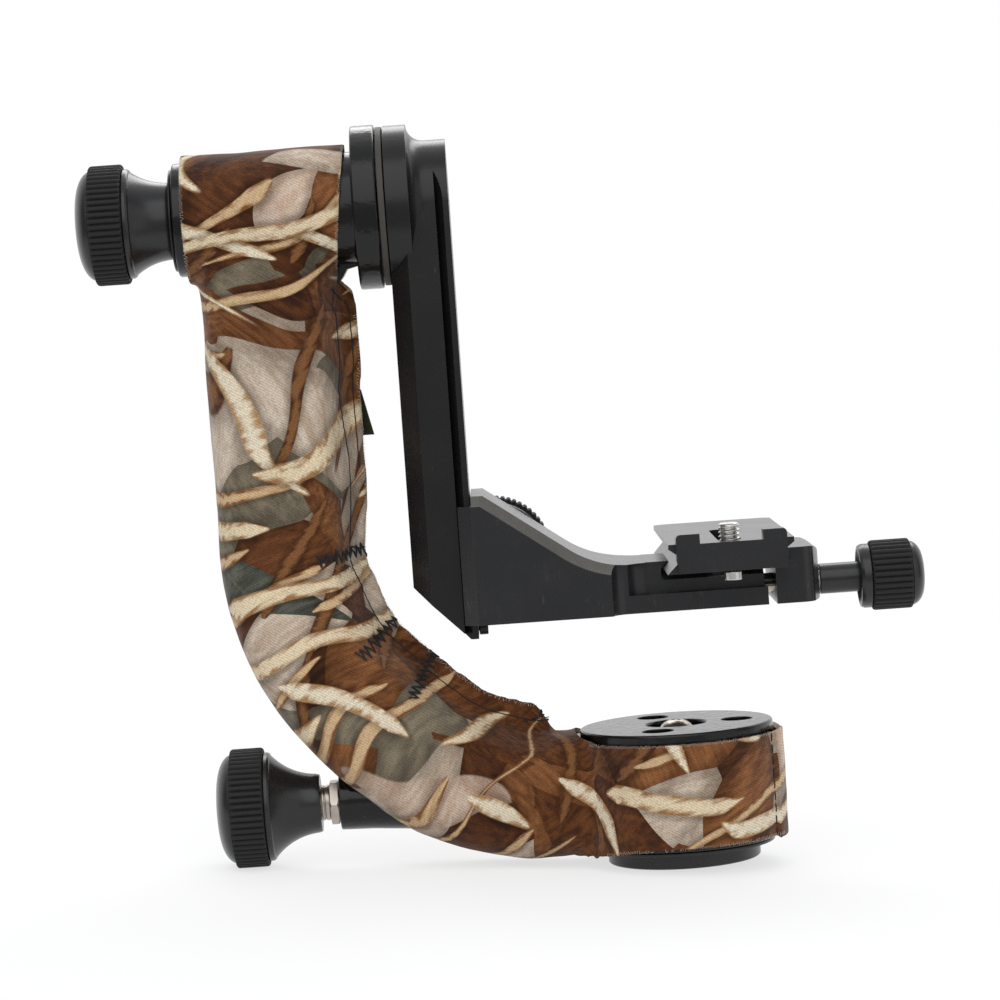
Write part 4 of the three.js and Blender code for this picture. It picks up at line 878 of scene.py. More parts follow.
def build_knobs():
    face_left, face_back = Matrix.Rotation(pi, 4, "Z"), Matrix.Rotation(pi / 2, 4, "Z")
    at = lambda x, y, z: Matrix.Translation(Vector((x, y, z)) * MM)
    big_knob("tilt_tension_knob", 11.7, 11.6, 5.3, 14.3, at(TILT_NECK, 0, TILT) @ face_left, "tilt_knob")
    nut_end = BOSS_END - GAP
    left = nut_end - NUT_HEIGHT - GAP - NUT_HEIGHT
    big_knob("pan_lock_knob", 9.0, 14.6, STUD_BORE, 14.3, at(left - GAP, 0, LOCK) @ face_left, "pan_knob")
    big_knob("platform_lock_knob", 8.5, 8, STUD_BORE, 12.3,
        at(REAR_KNOB_X, BRACKET_HALF + GAP, REAR_KNOB_Z) @ face_back, "platform_knob")
    nut = placed(prism("lock_jam_nut", around_six(7.33), nut_end - NUT_HEIGHT, nut_end, "x"),
        at(0, 0, LOCK))
    rounded = turned("chamfer", [(0, -2.5), (6.5, -2.5), (7.4, -2.05), (7.4, -0.35), (6.5, 0.1), (0, 0.1)],
        "x", (nut_end, 0, LOCK), 96)
    cut(common(nut, rounded), rod(STUD_BORE, -4, 2, "x", (nut_end, 0, LOCK)))
    dress(eased(nut, 0.12), STEEL, "arm", "steel", "jam_nut")
    right = left + NUT_HEIGHT
    sleeve = turned("lock_collar", [(STUD_BORE, left), (5.4, left), (5.4, left + 0.7), (5.1, left + 0.8),
        (5.1, left + 1.1), (5.4, left + 1.2), (5.4, right), (STUD_BORE, right), (STUD_BORE, left)], "x",
        AT_LOCK, soft=0.12)
    dress(shaded(sleeve), STEEL, "arm", "steel", "lock_sleeve")
    start = JAW_RIGHT + GAP
    face, grip = start + 12, start + 15.7
    dome = [(9.8 * cos(a) ** 0.6, grip + 12.1 + 4.1 * sin(a) ** 1.1)
        for a in np.linspace(0.05, 1.53, 12)]
    knob = turned("clamp_thumb_knob", [(0, start + 12.3), (SCREW_BORE, start + 12.3), (SCREW_BORE, start),
        (4.63, start), (4.63, face + 1.3), (7.2, face + 1.3), (8.5, face), (9.3, face + 0.15),
        (9.8, face + 1.2), (9.8, grip - 0.25), (8.5, grip - 0.25), (8.5, grip + 12.35), (9.8, grip + 12.35),
        *dome, (0, grip + 16.2)], "x", AT_CLAMP, soft=0.3)
    dress(shaded(knob), ANODISED, "clamp_knob", "anodised", "clamp_knob")
    band = ribbed_band("clamp_knob_ribs", 10.7, 8.8, grip, 12.1, 34, at(0, 0, CLAMP_Z))
    dress(shaded(band, 50), RUBBER, "clamp_knob", "grip_rubber", "clamp_knob_grip")


# Swing arm


def build_swing_arm():
    half, left, right, low = RAIL_HALF, SWING_LEFT, RAIL_FACE, 73.2
    groove = right - 4.1
    near = [(left, -half + 5.6), (left + 5.4, -half), (groove, -half), (groove, -half + 2.4),
        (groove + 2.4, -half), (right, -half)]
    bar = prism("swing_plate", near + [(x, -y) for x, y in reversed(near)], low, TILT + half + 2)
    rounded = prism("rounded", [(-half - 2, low - 2), (half + 2, low - 2), (half + 2, TILT - 0.01),
        *arc(0, TILT, half, 0, pi, 64), (-half - 2, TILT - 0.01)], left - 2, right + 2, "x")
    common(bar, rounded)
    cove = arc(24.2, left + 12.15, 5.15, -pi / 2, -pi, 14)[1:]
    disc = turned("disc", [(AXLE_BORE, left), (24.2, left), (24.2, left + 7), *cove,
        (AXLE_BORE, left + 12.15), (AXLE_BORE, left)], "x", AT_TILT, 160, 0.3)
    bore = turned("bore", [(0, left - 2), (AXLE_BORE, left - 2), (AXLE_BORE, left + 10.3),
        (2.5, left + 10.3), (2.5, right - 4.3), (4.9, right - 4.3), (4.9, right + 2), (0, right + 2)], "x",
        AT_TILT, 64)
    fill = rod(8, left + 0.4, left + 12, "x", AT_TILT, 64)
    total = left + low + 16.3
    slant = prism("slant", [(left - 2, low - 2), (total - low + 2, low - 2), (left - 2, total - left + 2)],
        -22, 22, "y")
    stop = rod(1.3, right - 5.3, right + 2, "x", (0, 0, 75), 32)
    body = cut(join(bar, disc, fill), slant, bore, stop)
    dress(eased(body, 0.32), DEEP_BLACK, "swing", "anodised", "swing_arm")
    washer = hoop("pivot_washer", AXLE_BORE, 24.0, WASHER_LEFT, WASHER_RIGHT, AT_TILT, 144, 0.25)
    dress(shaded(washer), WASHER, "swing", "washer_plastic", "friction_washer")
    stop_screw = socket_screw("rail_end_screw", 2.3, 2.7, 1.0, 5.0, (right + 0.15, 0, 75), (1, 0, 0))
    dress(stop_screw, BLACK_STEEL, "swing", "black_steel", "rail_stop_screw")
    axle_screw = socket_screw("pivot_screw", 4.6, 4.0, 2.2, 8.7, (right - 4.0, 0, TILT), (1, 0, 0))
    dress(axle_screw, BLACK_STEEL, "swing", "black_steel", "axle_screw")


# Lens platform


def bracket_side(chamfer):
    top, deck = PLATFORM_BOTTOM + BRACKET_HEIGHT, PLATFORM_BOTTOM + 14.8
    slope, radius = radians(35.8), 32.0
    start = BRACKET_LEFT + 3.6
    corner = start + (top - deck) / tan(slope)
    end = corner + radius * tan(slope / 2)
    curve = arc(end, deck + radius, radius + chamfer, -pi / 2 - slope, -pi / 2, 18)
    return [(BRACKET_LEFT, PLATFORM_BOTTOM), (BRACKET_LEFT, top - chamfer),
            (start - chamfer * tan(slope / 2), top - chamfer), *curve, (CLAMP_X, deck - chamfer),
            (CLAMP_X, PLATFORM_BOTTOM)]


def bracket_blank(name):
    """The gusseted body, its front and back edges chamfered and its waist cut in two steps."""
    out, flat = BRACKET_HALF, BRACKET_HALF - 3
    rings = [[(x, y, z) for x, z in bracket_side(c)]
        for c, y in ((3, -out), (0, -flat), (0, flat), (3, out))]
    gusset = lofted(name, rings)
    step = FIXED_JAW_LEFT - 12 + 5
    pocket = step + sqrt(8 ** 2 - (8 - BAR_HALF + SEAT_HALF) ** 2)
    for centre, half, radius, low in ((step, BAR_HALF, 5, -2), (pocket, SEAT_HALF, 8, BAR_HEIGHT)):
        outline = [(centre - radius, -36), *arc(centre, -half - radius, radius, pi, pi / 2, 14),
            (24, -half), (24, -36)]
        for side in (-1, 1):
            cut(gusset, prism("waist", [(x, -side * y) for x, y in outline], PLATFORM_BOTTOM + low,
                PLATFORM_BOTTOM + 41))
    return cut(gusset, block("beyond", FIXED_JAW_LEFT, 25, -30, 30, PLATFORM_BOTTOM - 2,
        PLATFORM_BOTTOM + 39))


def claw(name, side):
    """A jaw that reaches round the rail's dovetail, in front (-1) or behind (1)."""
    outer, left = RAIL_HALF + GAP, BRACKET_LEFT - 4.1
    tip = RAIL_HALF - 2.4 + GAP + GAP * sqrt(2)
    outline = [(BRACKET_LEFT + 2, -BRACKET_HALF), (BRACKET_LEFT, -BRACKET_HALF), (left, 4 - BRACKET_HALF),
        (left, -tip), (left + outer - tip, -outer), (BRACKET_LEFT + 2, -outer)]
    return prism(name, [(x, -side * y) for x, y in outline], PLATFORM_BOTTOM, PLATFORM_BOTTOM + 35.6)


def rear_cut(clear):
    """The space of the movable rear jaw, smaller all round by its clearance."""
    return block("rear", BRACKET_LEFT - 9, BRACKET_LEFT + 16.4 - clear, 18 + clear, 28, PLATFORM_BOTTOM - 2,
        PLATFORM_BOTTOM + 41)


def build_platform():
    low, far, right = PLATFORM_BOTTOM, SEAT_HALF, BAR_RIGHT - 0.8
    left, bar_top = FIXED_JAW_LEFT - 2, low + BAR_HEIGHT
    bar = block("bar", left, BAR_RIGHT, -BAR_HALF, BAR_HALF, low, bar_top)
    bevel = SEAT - low - 9.2
    seat = prism("seat", [(-far, low + 4.8), (far, low + 4.8), (far, low + 9.2), (far - bevel, SEAT),
        (-far + bevel, SEAT), (-far, low + 9.2)], left, right, "x")
    tip = CLAMP_X - PLATE_HALF - 0.6
    jaw = prism("jaw", [(left, bar_top), (left, SEAT + 1.6), (left + 0.6, SEAT + 2.2),
        (tip + 2.2, SEAT + 2.2), (tip, SEAT), (tip, bar_top)], -far, far, "y")
    reliefs = [rod(8, low + 9.2, SEAT + 4, at=(CLAMP_X, side * (far + 1.2), 0), sides=96)
        for side in (-1, 1)]
    bores = [rod(SCREW_BORE, BAR_RIGHT - 18.3, BAR_RIGHT + 2, "x", AT_CLAMP),
        rod(STUD_BORE, -8.3, 20, "y", AT_REAR_KNOB)]
    for side in (-1, 1):
        bores.append(rod(PIN_BORE, BAR_RIGHT - 9.3, BAR_RIGHT + 2, "x", (0, side * CLAMP_PINS, CLAMP_Z), 32))
        bores.append(rod(PIN_BORE, 8.7, 20, "y", (REAR_KNOB_X, 0, REAR_KNOB_Z + side * 11.5), 32))
    body = join(bracket_blank("lens_bracket"), bar, seat, jaw, claw("claw", -1))
    cut(body, rear_cut(0), *reliefs, *bores)
    dress(eased(body), ANODISED, "platform", "anodised", "platform_bracket")
    # The gusset's sloping front and back chamfers get a stronger edge value: a pale bare-metal chamfer that is
    # also a painted reflection of the bright space above.
    edge = body.data.attributes["edge"]
    for face in body.data.polygons:
        if abs(face.center.y) > 22.2 * MM and 0.35 < abs(face.normal.y) < 0.95 and face.normal.z > 0.25:
            edge.data[face.index].value = 0.8
    filled = common(bracket_blank("rear_blank"), rear_cut(GAP))
    rear = join(common(claw("rear_rail_jaw", 1), rear_cut(GAP)), filled)
    cut(rear, rod(STUD_BORE, 16, 30, "y", AT_REAR_KNOB))
    dress(eased(rear), ANODISED, "platform_jaw", "anodised", "platform_jaw")


def build_clamp_jaw():
    low, top = PLATFORM_BOTTOM, PLATFORM_BOTTOM + 16.7
    tip = CLAMP_X + PLATE_HALF + 0.6
    rise = top - 0.6 - SEAT
    side = prism("clamp_moving_jaw", [(JAW_LEFT, low), (JAW_LEFT, SEAT), (tip, SEAT),
        (tip - rise, top - 0.6), (tip - rise + 0.6, top), *arc(JAW_RIGHT - 4, top - 4, 4, pi / 2, 0, 10),
        (JAW_RIGHT, low + 0.6), (JAW_RIGHT - 0.6, low)], -BAR_HALF, BAR_HALF, "y")
    crown = [(JAW_RIGHT - 2.4 * (abs(y) / 16.5) ** 2, y) for y in np.linspace(-15, 15, 13)]
    plan = prism("plan", [(JAW_LEFT - 2, -BAR_HALF), *arc(JAW_RIGHT - 6.4, -16.5, 4, -pi / 2, 0, 8), *crown,
        *arc(JAW_RIGHT - 6.4, 16.5, 4, 0, pi / 2, 8), (JAW_LEFT - 2, BAR_HALF)], low - 2, top + 2)
    hole = rod(SCREW_BORE, JAW_LEFT - 2, JAW_RIGHT + 2, "x", AT_CLAMP)
    pins = [rod(PIN_BORE, JAW_LEFT - 2, JAW_LEFT + 8.3, "x", (0, y, CLAMP_Z), 32)
        for y in (-CLAMP_PINS, CLAMP_PINS)]
    body = cut(common(side, plan), hole, *pins)
    dress(eased(body), ANODISED, "clamp_jaw", "anodised", "quick_release_jaw")


# Lens plate


def slot_cut(radius, top):
    """A cut along the plate's slot, from below it up to a height."""
    outline = [*arc(CLAMP_X, SLOT_Y + SLOT_TRAVEL, radius, 0, pi, 20),
        *arc(CLAMP_X, SLOT_Y, radius, pi, TAU, 20)]
    return prism("slot", outline, PLATE_BOTTOM - 2, top)


def build_plate():
    low, top, rear = PLATE_BOTTOM, PLATE_TOP, 46.0
    half = [(PLATE_HALF, low), (PLATE_HALF - 4.5, low + 4.5), (PLATE_HALF - 0.6, top - 1.4),
            (PLATE_HALF - 0.6, top)]
    section = [(CLAMP_X + x, z) for x, z in half] + [(CLAMP_X - x, z) for x, z in reversed(half)]
    rail = prism("lens_plate", section, -47, rear, "y")
    reach, corner = PLATE_HALF + 2, PLATE_HALF - 5
    plan = prism("plan", [(CLAMP_X - reach, -49), (CLAMP_X + reach, -49), (CLAMP_X + reach, rear - 5),
        *arc(CLAMP_X + corner, rear - 5, 5, 0, pi / 2, 12), *arc(CLAMP_X - corner, rear - 5, 5, pi / 2, pi, 12),
        (CLAMP_X - reach, rear - 5)], low - 2, top + 2)
    common(rail, plan)
    b, ear, tall = 16.25, 9.25, top + 2.9
    front = [(-b + 0.6, low + 0.3), (b - 0.6, low + 0.3), (b, low + 4.5),
        *arc(b - 1.2, tall - 1.2, 1.2, 0, pi / 2, 5), (ear, tall), (ear, top), (-ear, top),
        (-ear, tall), *arc(-b + 1.2, tall - 1.2, 1.2, pi / 2, pi, 5), (-b, low + 4.5)]
    end = prism("end", [(CLAMP_X + x, z) for x, z in front], -50, -44, "y")
    ends = ("front", -46.5), ("rear", rear - 3.5)
    holes = [rod(1.4, low - 2, low + 3.3, at=(CLAMP_X, y, 0), sides=32) for _, y in ends]
    body = cut(join(rail, end), slot_cut(3.5, top + 2), slot_cut(4.7, low + 4), *holes)
    dress(eased(body, 0.28), ANODISED, "plate", "anodised", "quick_release_plate")
    for name, y in ends:
        screw = socket_screw(f"plate_stop_{name}", 2.6, 2.5, 1.1, 2.7, (CLAMP_X, y, low - 0.15), (0, 0, -1))
        dress(screw, POLISHED, "plate", "polished_steel", f"plate_stop_screw_{name}")
    head = turned("camera_bolt", [(0, low + 0.3), (4.3, low + 0.3), (4.3, low + 2.8), (2.6, low + 2.8),
        (2.6, top + 3.2), (0, top + 3.2)], at=(CLAMP_X, SLOT_Y, 0), sides=64, soft=0.2)
    thread = threaded("thread", 3.175, 0.72, 1.27, low + 3.6, top + 4.9, (CLAMP_X, SLOT_Y, 0))
    dress(shaded(merged(head, thread), 75), POLISHED, "camera_screw", "polished_steel", "camera_screw")


# Sleeve: one stretched skin over bar, barrel and housing, pinched into a sewn seam inside the curve

COVER_LEFT = BARREL_LEFT + 3.0
COVER_RIGHT = FLANGE_LEFT - 4.3
COVER_RIGHT_SLANT = (1, 0, -0.114)
COVER_TOP = HOUSING_TOP - 2.9
SLOPE_START = -26.5
COVER_BOTTOM = HOUSING_BOTTOM + 0.3
SKIN = 2.2
CLOTH = 1.5
FLAP_FOOT = 1.2
# The seam flap's width along the arm: millimetres above the curve are negative, then degrees round it
FLAP_SIZES = ((-90, 4.4), (-58, 5.1), (-52, 4.1), (-28, 4.5), (-14, 3.8), (-4, 2.9), (0, 2.4), (5, 2.9),
    (10, 4.1), (22, 4.8), (30, 5.3), (36, 6.5), (42, 7.3), (60, 8.0), (70, 7.5), (80, 7.8), (86, 7.1),
    (90, 6.8))
# Height of the base cover's lower edge by degrees from the right, front and back alike
LOWER_EDGE = ((0, 6.9), (59, 7.3), (100, 7.3), (109, 7.0), (118, 6.7), (123, 6.3), (128, 5.9), (134, 5.5),
    (146, 4.9), (160, 4.1), (180, 3.8))
# The sleeve's distance from the bar on the outside of the curve, by the same places
OUTER_SKIN = ((-40, 2.0), (0, 1.8), (10, 1.6), (20, 1.2), (30, 0.7), (40, 0.5), (55, 1.1), (65, 3.4),
    (75, 4.4), (85, 5.6), (90, 5.4))
# Ends of the three gathered stitch lines, as (x, z) seen from the front
GATHERS = [((-104.9, 99.6), (-90.0, 101.6)), ((-94.3, 69.7), (-80.6, 81.6)), ((-79.6, 55.6), (-71.6, 69.8))]


def ramp(value, low, high):
    """0 below low, 1 above high, eased between."""
    t = min(1, max(0, (value - low) / (high - low)))
    return t * t * (3 - 2 * t)


def along(z, angle):
    """A station's place in the tables that run along the arm."""
    return degrees(angle) if angle else ARC_Z - z


def read(table, place):
    return float(np.interp(place, [a for a, _ in table], [b for _, b in table]))


def sleeve_loft():
    rows = arm_stations(40)
    lengths = [0.0]
    for (x0, z0, *_), (x1, z1, *_) in zip(rows, rows[1:]):
        lengths.append(lengths[-1] + hypot(x1 - x0, z1 - z0))
    rings = []
    for (x, z, angle, half), s in zip(rows, lengths):
        a, b = half + SKIN - 1.1 * ramp(along(z, angle), 76, 86), ARM_DEPTH + SKIN
        left = lengths[-1] - s
        outer = half + read(OUTER_SKIN, along(z, angle)) - 0.8 * (1 - ramp(left, 0, 7.5))
        size = read(FLAP_SIZES, along(z, angle)) * ramp(s, 20, 26) * ramp(left, 6.5, 14)
        wave = 0.9 * ramp(s, 70, 110) * sin(s / 4.1) + 0.5 * noise.noise((s * 0.21, 3.1, 0))
        ragged = 0.45 * noise.noise((s * 0.9, 7.7, 0)) + 0.3 * noise.noise((s * 2.3, 1.7, 0))
        ring = []
        for i in range(3, 62):
            turn = TAU * i / 64
            c, q = cos(turn), sin(turn)
            across = abs(c) ** 0.6 * a if c > 0 else -abs(c) ** 0.6 * outer
            depth = copysign(abs(q) ** 0.6, q) * b
            pull = ramp(c, 0.55, 1.0) * ramp(size, 0, 3)
            across += 1.3 * pull
            depth *= 1 - 0.55 * pull
            ring.append((across, depth))
        edge = half + SKIN + FLAP_FOOT
        middle, tip = edge + size * 0.5, edge + size + ragged
        if size > 0.4:
            ring += [(edge, -1.7), (middle, -1.5), (tip, -1.3 + wave), (tip, 1.3 + wave), (middle, 1.5),
                (edge, 1.7)]
        else:
            ring += [(a - 0.3, -2.4), (a, -1.5), (a, -0.5), (a, 0.5), (a, 1.5), (a - 0.3, 2.4)]
        rings.append([(x + u * cos(angle), v, z + u * sin(angle)) for u, v in ring])
    return lofted("sleeve", rings)


def sleeve_skin():
    """The outer surface, before its open ends are cut."""
    body = merged(sleeve_loft(),
        rod(BARREL_R + SKIN, COVER_LEFT - 3, COVER_RIGHT + 4.6, "x", AT_TILT, 96),
        rod(HOUSING_R + SKIN, COVER_BOTTOM - 3, COVER_TOP + 3, sides=128))
    weave = body.modifiers.new("weave", "REMESH")
    weave.mode, weave.voxel_size = "VOXEL", 1.15 * MM
    settle(body)
    relax = body.modifiers.new("relax", "SMOOTH")
    relax.factor, relax.iterations = 0.5, 7
    return settle(body)


def trim(mesh, x, z, normal, inside):
    """Cuts an opening: drops what lies beyond the plane at (x, z), among the faces that inside accepts."""
    normal, point = Vector(normal).normalized(), Vector((x, 0, z)) * MM
    near = [f for f in mesh.faces if inside(f.calc_center_median() / MM)]
    parts = set(near) | {e for f in near for e in f.edges} | {v for f in near for v in f.verts}
    bmesh.ops.bisect_plane(mesh, geom=list(parts), plane_co=point, plane_no=normal, dist=1e-7)
    gone = [f for f in mesh.faces if inside(f.calc_center_median() / MM)
            and (f.calc_center_median() - point).dot(normal) > 1e-7]
    bmesh.ops.delete(mesh, geom=gone, context="FACES")


def even_rim(mesh):
    """Draws the stepped lower edge beside the housing onto its round and evens every open edge."""
    rim = [v for v in mesh.verts if v.is_boundary]
    for vert in rim:
        reach = hypot(vert.co.x, vert.co.y) / MM
        if 30 < reach < 37 and vert.co.z < (COVER_BOTTOM - 0.2) * MM:
            vert.co.xy *= (HOUSING_R + 2.7) / reach
    for _ in range(6):
        mean = {}
        for vert in rim:
            beside = [e.other_vert(vert).co for e in vert.link_edges if e.is_boundary]
            mean[vert] = vert.co * 0.5 + sum(beside, Vector()) * 0.5 / len(beside)
        for vert, spot in mean.items():
            vert.co = spot


def gather_depth(spot):
    """How far the gathering stitches pull the cloth in, and the small folds beside them."""
    pull = 0.0
    for (x0, z0), (x1, z1) in GATHERS:
        line = Vector((x1 - x0, z1 - z0))
        rel = Vector((spot.x - x0, spot.z - z0))
        t = rel.dot(line) / line.length_squared
        off = (rel - line * min(1.15, max(-0.1, t))).length
        pull -= 0.9 * exp(-(off / 2.2) ** 2)
        pull += 0.4 * exp(-((off - 4.6) / 2.4) ** 2) * (0.6 + 0.4 * sin(t * 17))
    return pull


def build_sleeve():
    piece = sleeve_skin()
    mesh = bmesh.new()
    mesh.from_mesh(piece.data)
    beside = lambda c: hypot(c.x, c.y) < HOUSING_R + 3.2
    trim(mesh, COVER_LEFT, TILT, (-1, 0, 0), lambda c: c.z > 176)
    trim(mesh, COVER_RIGHT, TILT, COVER_RIGHT_SLANT, lambda c: c.z > 183.6)
    trim(mesh, SLOPE_START, COVER_TOP, (0, 0, 1),
        lambda c: beside(c) and 30 < c.z < 60 and c.x > SLOPE_START)
    trim(mesh, SLOPE_START, COVER_TOP, (0.63, 0, 1), lambda c: -33.5 < c.x < SLOPE_START and 30 < c.z < 60)
    trim(mesh, 0, COVER_BOTTOM, (0, 0, -1), lambda c: beside(c) and c.z < 15)
    loose = [v for v in mesh.verts if not v.link_faces]
    bmesh.ops.delete(mesh, geom=loose, context="VERTS")
    even_rim(mesh)
    mesh.normal_update()
    for vert in mesh.verts:
        spot = vert.co / MM
        wide = noise.noise(spot * 0.045) * 0.5 + noise.noise(spot * 0.13 + Vector((5, 0, 0))) * 0.16
        out = wide * (0.35 if vert.is_boundary else 1.0)
        if spot.y < 0:
            out += gather_depth(spot)
        around = degrees(atan2(spot.y, spot.x))
        near = 1 - ramp(hypot(spot.x, spot.y), HOUSING_R + 2.6, HOUSING_R + 5)
        if spot.z < 14 and near:  # the lower edge takes its height from the table
            level = read(LOWER_EDGE, abs(around))
            drop = (level - COVER_BOTTOM) * (1 - ramp(spot.z, 6.6, 13)) * near
            if spot.z > level:
                drop = max(drop, level - spot.z)
            vert.co.z += (drop if spot.z > level or drop > 0 else 0) * MM
        if spot.z < COVER_TOP + 2 and hypot(spot.x, spot.y) < HOUSING_R + 4 and spot.x > 0:  # lapped side seam
            out += 1.1 * (ramp(around, -29, -26.5) - ramp(around, -12, -4))
        if spot.z > 187:  # fine folds at the foot of the barrel
            out += 0.18 * sin(spot.x * 0.9 + 1.5 * noise.noise(spot * 0.2)) * ramp(195 - spot.z, 0, 6)
        vert.co += vert.normal * out * MM
        if vert.is_boundary and spot.z < 14:
            vert.co.z += 0.35 * noise.noise(spot * 1.9) * MM
    # The open edges turn in by the cloth's thickness
    rim = [e for e in mesh.edges if e.is_boundary]
    inward = {tuple(v.co): v.normal * -CLOTH * MM for e in rim for v in e.verts}
    for vert in bmesh.ops.extrude_edge_only(mesh, edges=rim)["geom"]:
        if isinstance(vert, bmesh.types.BMVert):
            vert.co += inward.get(tuple(vert.co), Vector())
    bmesh.ops.recalc_face_normals(mesh, faces=mesh.faces)
    mesh.to_mesh(piece.data)
    mesh.free()
    piece.name = "camouflage_sleeve"
    piece.data.shade_smooth()
    piece.data.set_sharp_from_angle(angle=radians(60))
    return dress(piece, SLEEVE, "arm", "cover_fabric", "arm_cover")


def surface_line(tree, route, step, rise, toward=1):
    """Points on the sleeve above a route of (x, z) places, as seen from the front or the back."""
    spots = []
    for (x0, z0), (x1, z1) in zip(route, route[1:]):
        count = max(1, int(hypot(x1 - x0, z1 - z0) / step))
        spots += [(x0 + (x1 - x0) * k / count, z0 + (z1 - z0) * k / count) for k in range(count)]
    spots.append(route[-1])
    found = []
    for x, z in spots:
        hit, normal, *_ = tree.ray_cast(Vector((x, -60 * toward, z)) * MM, Vector((0, toward, 0)))
        if hit:
            found.append((hit / MM + normal * rise, normal))
    return found


def thread_path(name, found):
    """An edge-only object along found points that remembers which way is out."""
    path = make(name, [p for p, _ in found], [], [(k, k + 1) for k in range(len(found) - 1)])
    out = path.data.attributes.new("out", "FLOAT_VECTOR", "POINT")
    for k, (_, normal) in enumerate(found):
        out.data[k].vector = normal
    return path


def seam_route(inset, more=0.0):
    """The seam's line at a distance in from the flap's edge, and some more of it near the top."""
    route = []
    for x, z, angle, half in arm_stations(40)[8:-2]:
        u = half + SKIN + FLAP_FOOT + read(FLAP_SIZES, along(z, angle)) - inset
        u -= more * (1 - ramp(along(z, angle), -50, -20))
        route.append((x + u * cos(angle), z + u * sin(angle)))
    return route


def sewn(name, found, spacing, length, rise, radius, lean, seed, turn=0.0, finish=THREAD):
    """Stitches or fibres along found points, in millimetres, leaning at random about their turn."""
    return grown(thread_path(name, found), STITCH_ROW, Spacing=spacing * MM, Length=length * MM,
        Rise=rise * MM, Radius=radius * MM, Turn=turn, Lean=lean, Seed=seed, Material=finish)


def strand(name, found, radius):
    return grown(thread_path(name, found), THREAD_LINE, Radius=radius * MM, Material=THREAD)


def build_stitching(sleeve):
    tree = BVHTree.FromObject(sleeve, bpy.context.evaluated_depsgraph_get())
    rows = []
    seams = ((5.0, 1.4, [(-94.8, 180.2), (-95.6, 175.2)], 1), (5.0, 1.4, [], -1), (2.3, 0, [(-91.3, 176.1)], 1))
    for i, (inset, more, start, toward) in enumerate(seams):
        found = surface_line(tree, start + seam_route(inset, more), 0.8, 0.05, toward)
        if inset < 3:
            found = found[:56]
        rows.append(sewn(f"seam_stitches_{i}", found, 2.7, 2.85, 0.16, 0.17, 0.06, i + 4))
    for name, route in (("corner_stitches", [(-95, 180.3), (-93, 177.7), (-91.3, 176.1)]),
            ("flap_end_stitches", [(-46, 45.5), (-40.5, 46.4), (-37.6, 44.4)])):
        rows.append(sewn(name, surface_line(tree, route, 0.8, 0.05), 2.3, 2.4, 0.16, 0.17, 0.1, 9))
    knot = [(-40.4 + 1.5 * sin(k * 1.9), 47.2 + 1.2 * sin(k * 2.7)) for k in range(9)]
    rows.append(strand("knot", surface_line(tree, knot, 0.5, 0.4), 0.24))
    x = (HOUSING_R + SKIN + 0.4) * cos(radians(-30.5))
    found = surface_line(tree, [(x, COVER_TOP - 1.5), (x, COVER_BOTTOM + 2)], 0.8, 0.05)
    rows.append(sewn("base_seam_stitches", found, 3.4, 2.6, 0.2, 0.2, 0.1, 2))
    rng = random.Random(11)
    for i, ((x0, z0), (x1, z1)) in enumerate(GATHERS):
        line = Vector((x1 - x0, z1 - z0))
        side = Vector((-line.y, line.x)).normalized()
        zigzag, t, sign = [], 0.0, 1
        while t < 1.12:
            zigzag.append(tuple(Vector((x0, z0)) + line * t + side * sign * rng.uniform(1.3, 2.5)))
            t += rng.uniform(0.035, 0.06)
            sign = -sign
        found = [(spot + normal * rng.uniform(0, 0.25), normal)
            for spot, normal in surface_line(tree, zigzag, 0.7, 0.3)]
        rows.append(strand(f"gather_{i}", found, 0.26))
        for k in range(2 + i):
            start = Vector((x1, z1)) - line * rng.uniform(0, 0.3)
            loop = [tuple(start + line.normalized() * d + side * rng.uniform(-2, 2))
                for d in (-1, 1.2, 2.6, 3.6)]
            found = surface_line(tree, loop, 0.7, 0.35)
            if len(found) > 2:
                rows.append(strand(f"gather_end_{i}_{k}", found, 0.24))
    whole = merged(*rows)
    whole.name = "sleeve_stitching"
    whole.data.shade_smooth()
    dress(whole, THREAD, "arm", "cover_fabric")
    fibres = []
    for i, (inset, toward) in enumerate(((0.5, 1), (0.9, -1))):
        found = surface_line(tree, seam_route(inset), 0.5, 0.0, toward)
        fibres.append(sewn(f"edge_fibres_{i}", found, 0.9, 1.5, 0.3, 0.045, 1.1, i + 20, 1.4, FUZZ))
    ends = ([(COVER_LEFT + 0.3, TILT - 18), (COVER_LEFT + 0.3, TILT + 18.5)],
            [(COVER_RIGHT - 2.4, TILT - 18), (COVER_RIGHT + 1.8, TILT + 18.5)],
            [(-24, 5.6), (-18, 6.6), (0, 7.5), (30, 7.4)], [(-27, COVER_TOP - 0.2), (30, COVER_TOP - 0.2)])
    for i, route in enumerate(ends):
        found = surface_line(tree, route, 0.5, 0.0)
        fibres.append(sewn(f"end_fibres_{i}", found, 0.7, 1.1, 0.18, 0.035, 1.0, i + 30, 1.4, FUZZ))
    fuzz = merged(*fibres)
    fuzz.name = "sleeve_loose_fibres"
    dress(fuzz, FUZZ, "arm", "cover_fabric")
    return whole, fuzz


def build_tag():
    """A folded woven tag caught in the seam, 14 mm long and widening downwards."""
    left, top = ARM_X + ARM_HALF + 2.7, TILT - 55
    rings = []
    for v in np.linspace(0, 1, 11):
        wide, dip, z = 4.9 + 3.1 * v, 2.0 + 0.15 * sin(v * 9), top - 14 * v
        row = [(left + u * wide, dip + 0.5 * sin(u * 2.2) * v, z) for u in np.linspace(0, 1, 8)]
        rings.append(row + [(x, y + 0.7, z) for x, y, z in reversed(row)])
    tag = lofted("seam_tag", rings)
    tag.data.shade_smooth()
    tag.data.set_sharp_from_angle(angle=radians(50))
    return dress(tag, WEBBING, "arm", "tag_fabric", "cover_tag")


# Hidden pieces keep their CAD shape and take a finish


